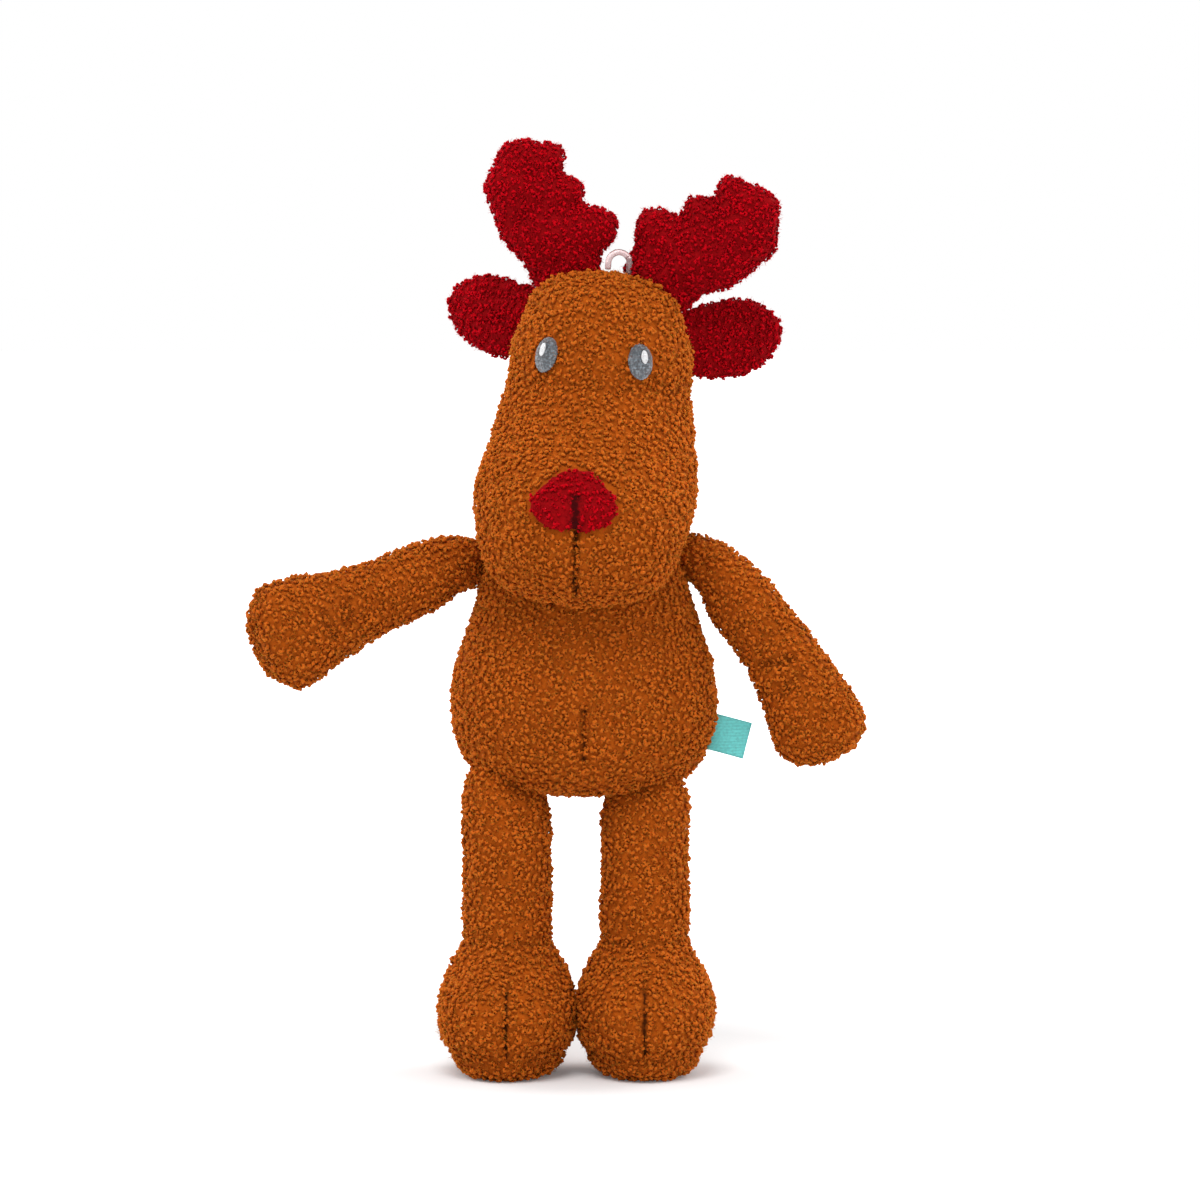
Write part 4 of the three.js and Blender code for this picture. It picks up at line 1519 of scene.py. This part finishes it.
def white_behind(tree, lit, strength):
    """Adds plain white to what the camera and reflections see."""
    seen = seen_rays(tree)
    glow = tree.nodes.new("ShaderNodeEmission")
    tree.links.new(combined(tree, "MULTIPLY", seen, strength), glow.inputs["Strength"])
    both = tree.nodes.new("ShaderNodeAddShader")
    tree.links.new(lit, both.inputs[0])
    tree.links.new(glow.outputs["Emission"], both.inputs[1])
    return both.outputs["Shader"]


class DEER_OT_stage(bpy.types.Operator):
    """Lay the pale floor, light it softly and aim the camera"""

    bl_idname = "deer.stage"
    bl_label = "Stage"

    def execute(self, context):
        scene, stage = context.scene, context.scene.deer_stage
        low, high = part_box("body_front_cover")
        back_low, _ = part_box("body_back_cover")
        aim = Vector(((low.x + high.x) / 2 + stage.aim_aside, back_low.y, stage.aim_height))
        back = Vector((0, -math.cos(stage.elevation), math.sin(stage.elevation)))
        camera = linked("camera", bpy.data.cameras.new("camera"))
        camera.data.sensor_width = SENSOR_WIDTH
        camera.data.lens = camera.data.sensor_width * stage.distance / stage.view_width
        camera.data.clip_end = CLIP_END
        camera.location = aim + back * stage.distance
        camera.rotation_euler = (-back).to_track_quat("-Z", "Y").to_euler()
        scene.camera = camera

        mesh = bpy.data.meshes.new("floor")
        corners = [(-1, -1, 0), (1, -1, 0), (1, 1, 0), (-1, 1, 0)]
        mesh.from_pydata([Vector(corner) * FLOOR_REACH for corner in corners], [], [(0, 1, 2, 3)])
        floor = linked("floor", mesh)
        material, tree, shader = new_material("pale_floor")
        pale = (FLOOR_ALBEDO, FLOOR_ALBEDO, FLOOR_ALBEDO, 1)
        set_inputs(shader, {"Base Color": pale, "Roughness": 0.7, "Specular IOR Level": 0})
        coordinates = tree.nodes.new("ShaderNodeTexCoord")
        length = tree.nodes.new("ShaderNodeVectorMath")
        length.operation = "LENGTH"
        tree.links.new(coordinates.outputs["Object"], length.inputs[0])
        glow = mapped(tree, length.outputs["Value"], (GLOW_START, GLOW_END), (GLOW_LEAST, 1.0))
        output = tree.nodes["Material Output"]
        tree.links.new(white_behind(tree, shader.outputs["BSDF"], glow), output.inputs["Surface"])
        mesh.materials.append(material)

        world = bpy.data.worlds.new("plain_white")
        world.use_nodes = True
        tree = world.node_tree
        background = tree.nodes["Background"]
        set_inputs(background, {"Color": (1, 1, 1, 1)})
        strength = mapped(tree, seen_rays(tree), (0, 1), (WORLD_LIGHT, 1.0))
        tree.links.new(strength, background.inputs["Strength"])
        scene.world = world

        for lamp in LAMPS:
            soft_lamp(aim, *lamp)
        scene.view_settings.view_transform = "Standard"
        return {"FINISHED"}


OPERATORS = (
    DEER_OT_stage, DEER_OT_body, DEER_OT_head, DEER_OT_arms, DEER_OT_legs, DEER_OT_ears, DEER_OT_antlers,
    DEER_OT_nose, DEER_OT_pile, DEER_OT_eyes, DEER_OT_label, DEER_OT_loop,
)
SETTINGS = {
    "deer_skin": DeerSkin, "deer_pile": DeerPile, "deer_colours": DeerColours, "deer_stage": DeerStage,
}


class DEER_PT_panel(bpy.types.Panel):
    """The toy's settings and the steps that make it."""

    bl_label = "Plush Deer"
    bl_idname = "DEER_PT_panel"
    bl_space_type = "VIEW_3D"
    bl_region_type = "UI"
    bl_category = "Deer"

    def draw(self, context):
        for name, group in SETTINGS.items():
            box = self.layout.box()
            box.label(text=group.__doc__)
            for prop in group.__annotations__:
                box.prop(getattr(context.scene, name), prop)
        for operator in OPERATORS:
            self.layout.operator(operator.bl_idname)


def register():
    for name, group in SETTINGS.items():
        bpy.utils.register_class(group)
        setattr(bpy.types.Scene, name, PointerProperty(type=group))
    for made in (*OPERATORS, DEER_PT_panel):
        bpy.utils.register_class(made)


def unregister():
    for made in reversed((*OPERATORS, DEER_PT_panel)):
        bpy.utils.unregister_class(made)
    for name, group in SETTINGS.items():
        delattr(bpy.types.Scene, name)
        bpy.utils.unregister_class(group)


def main():
    """Makes the toy."""
    register()
    for operator in OPERATORS:
        group, step = operator.bl_idname.split(".")
        getattr(getattr(bpy.ops, group), step)()


if __name__ == "__main__":
    main()
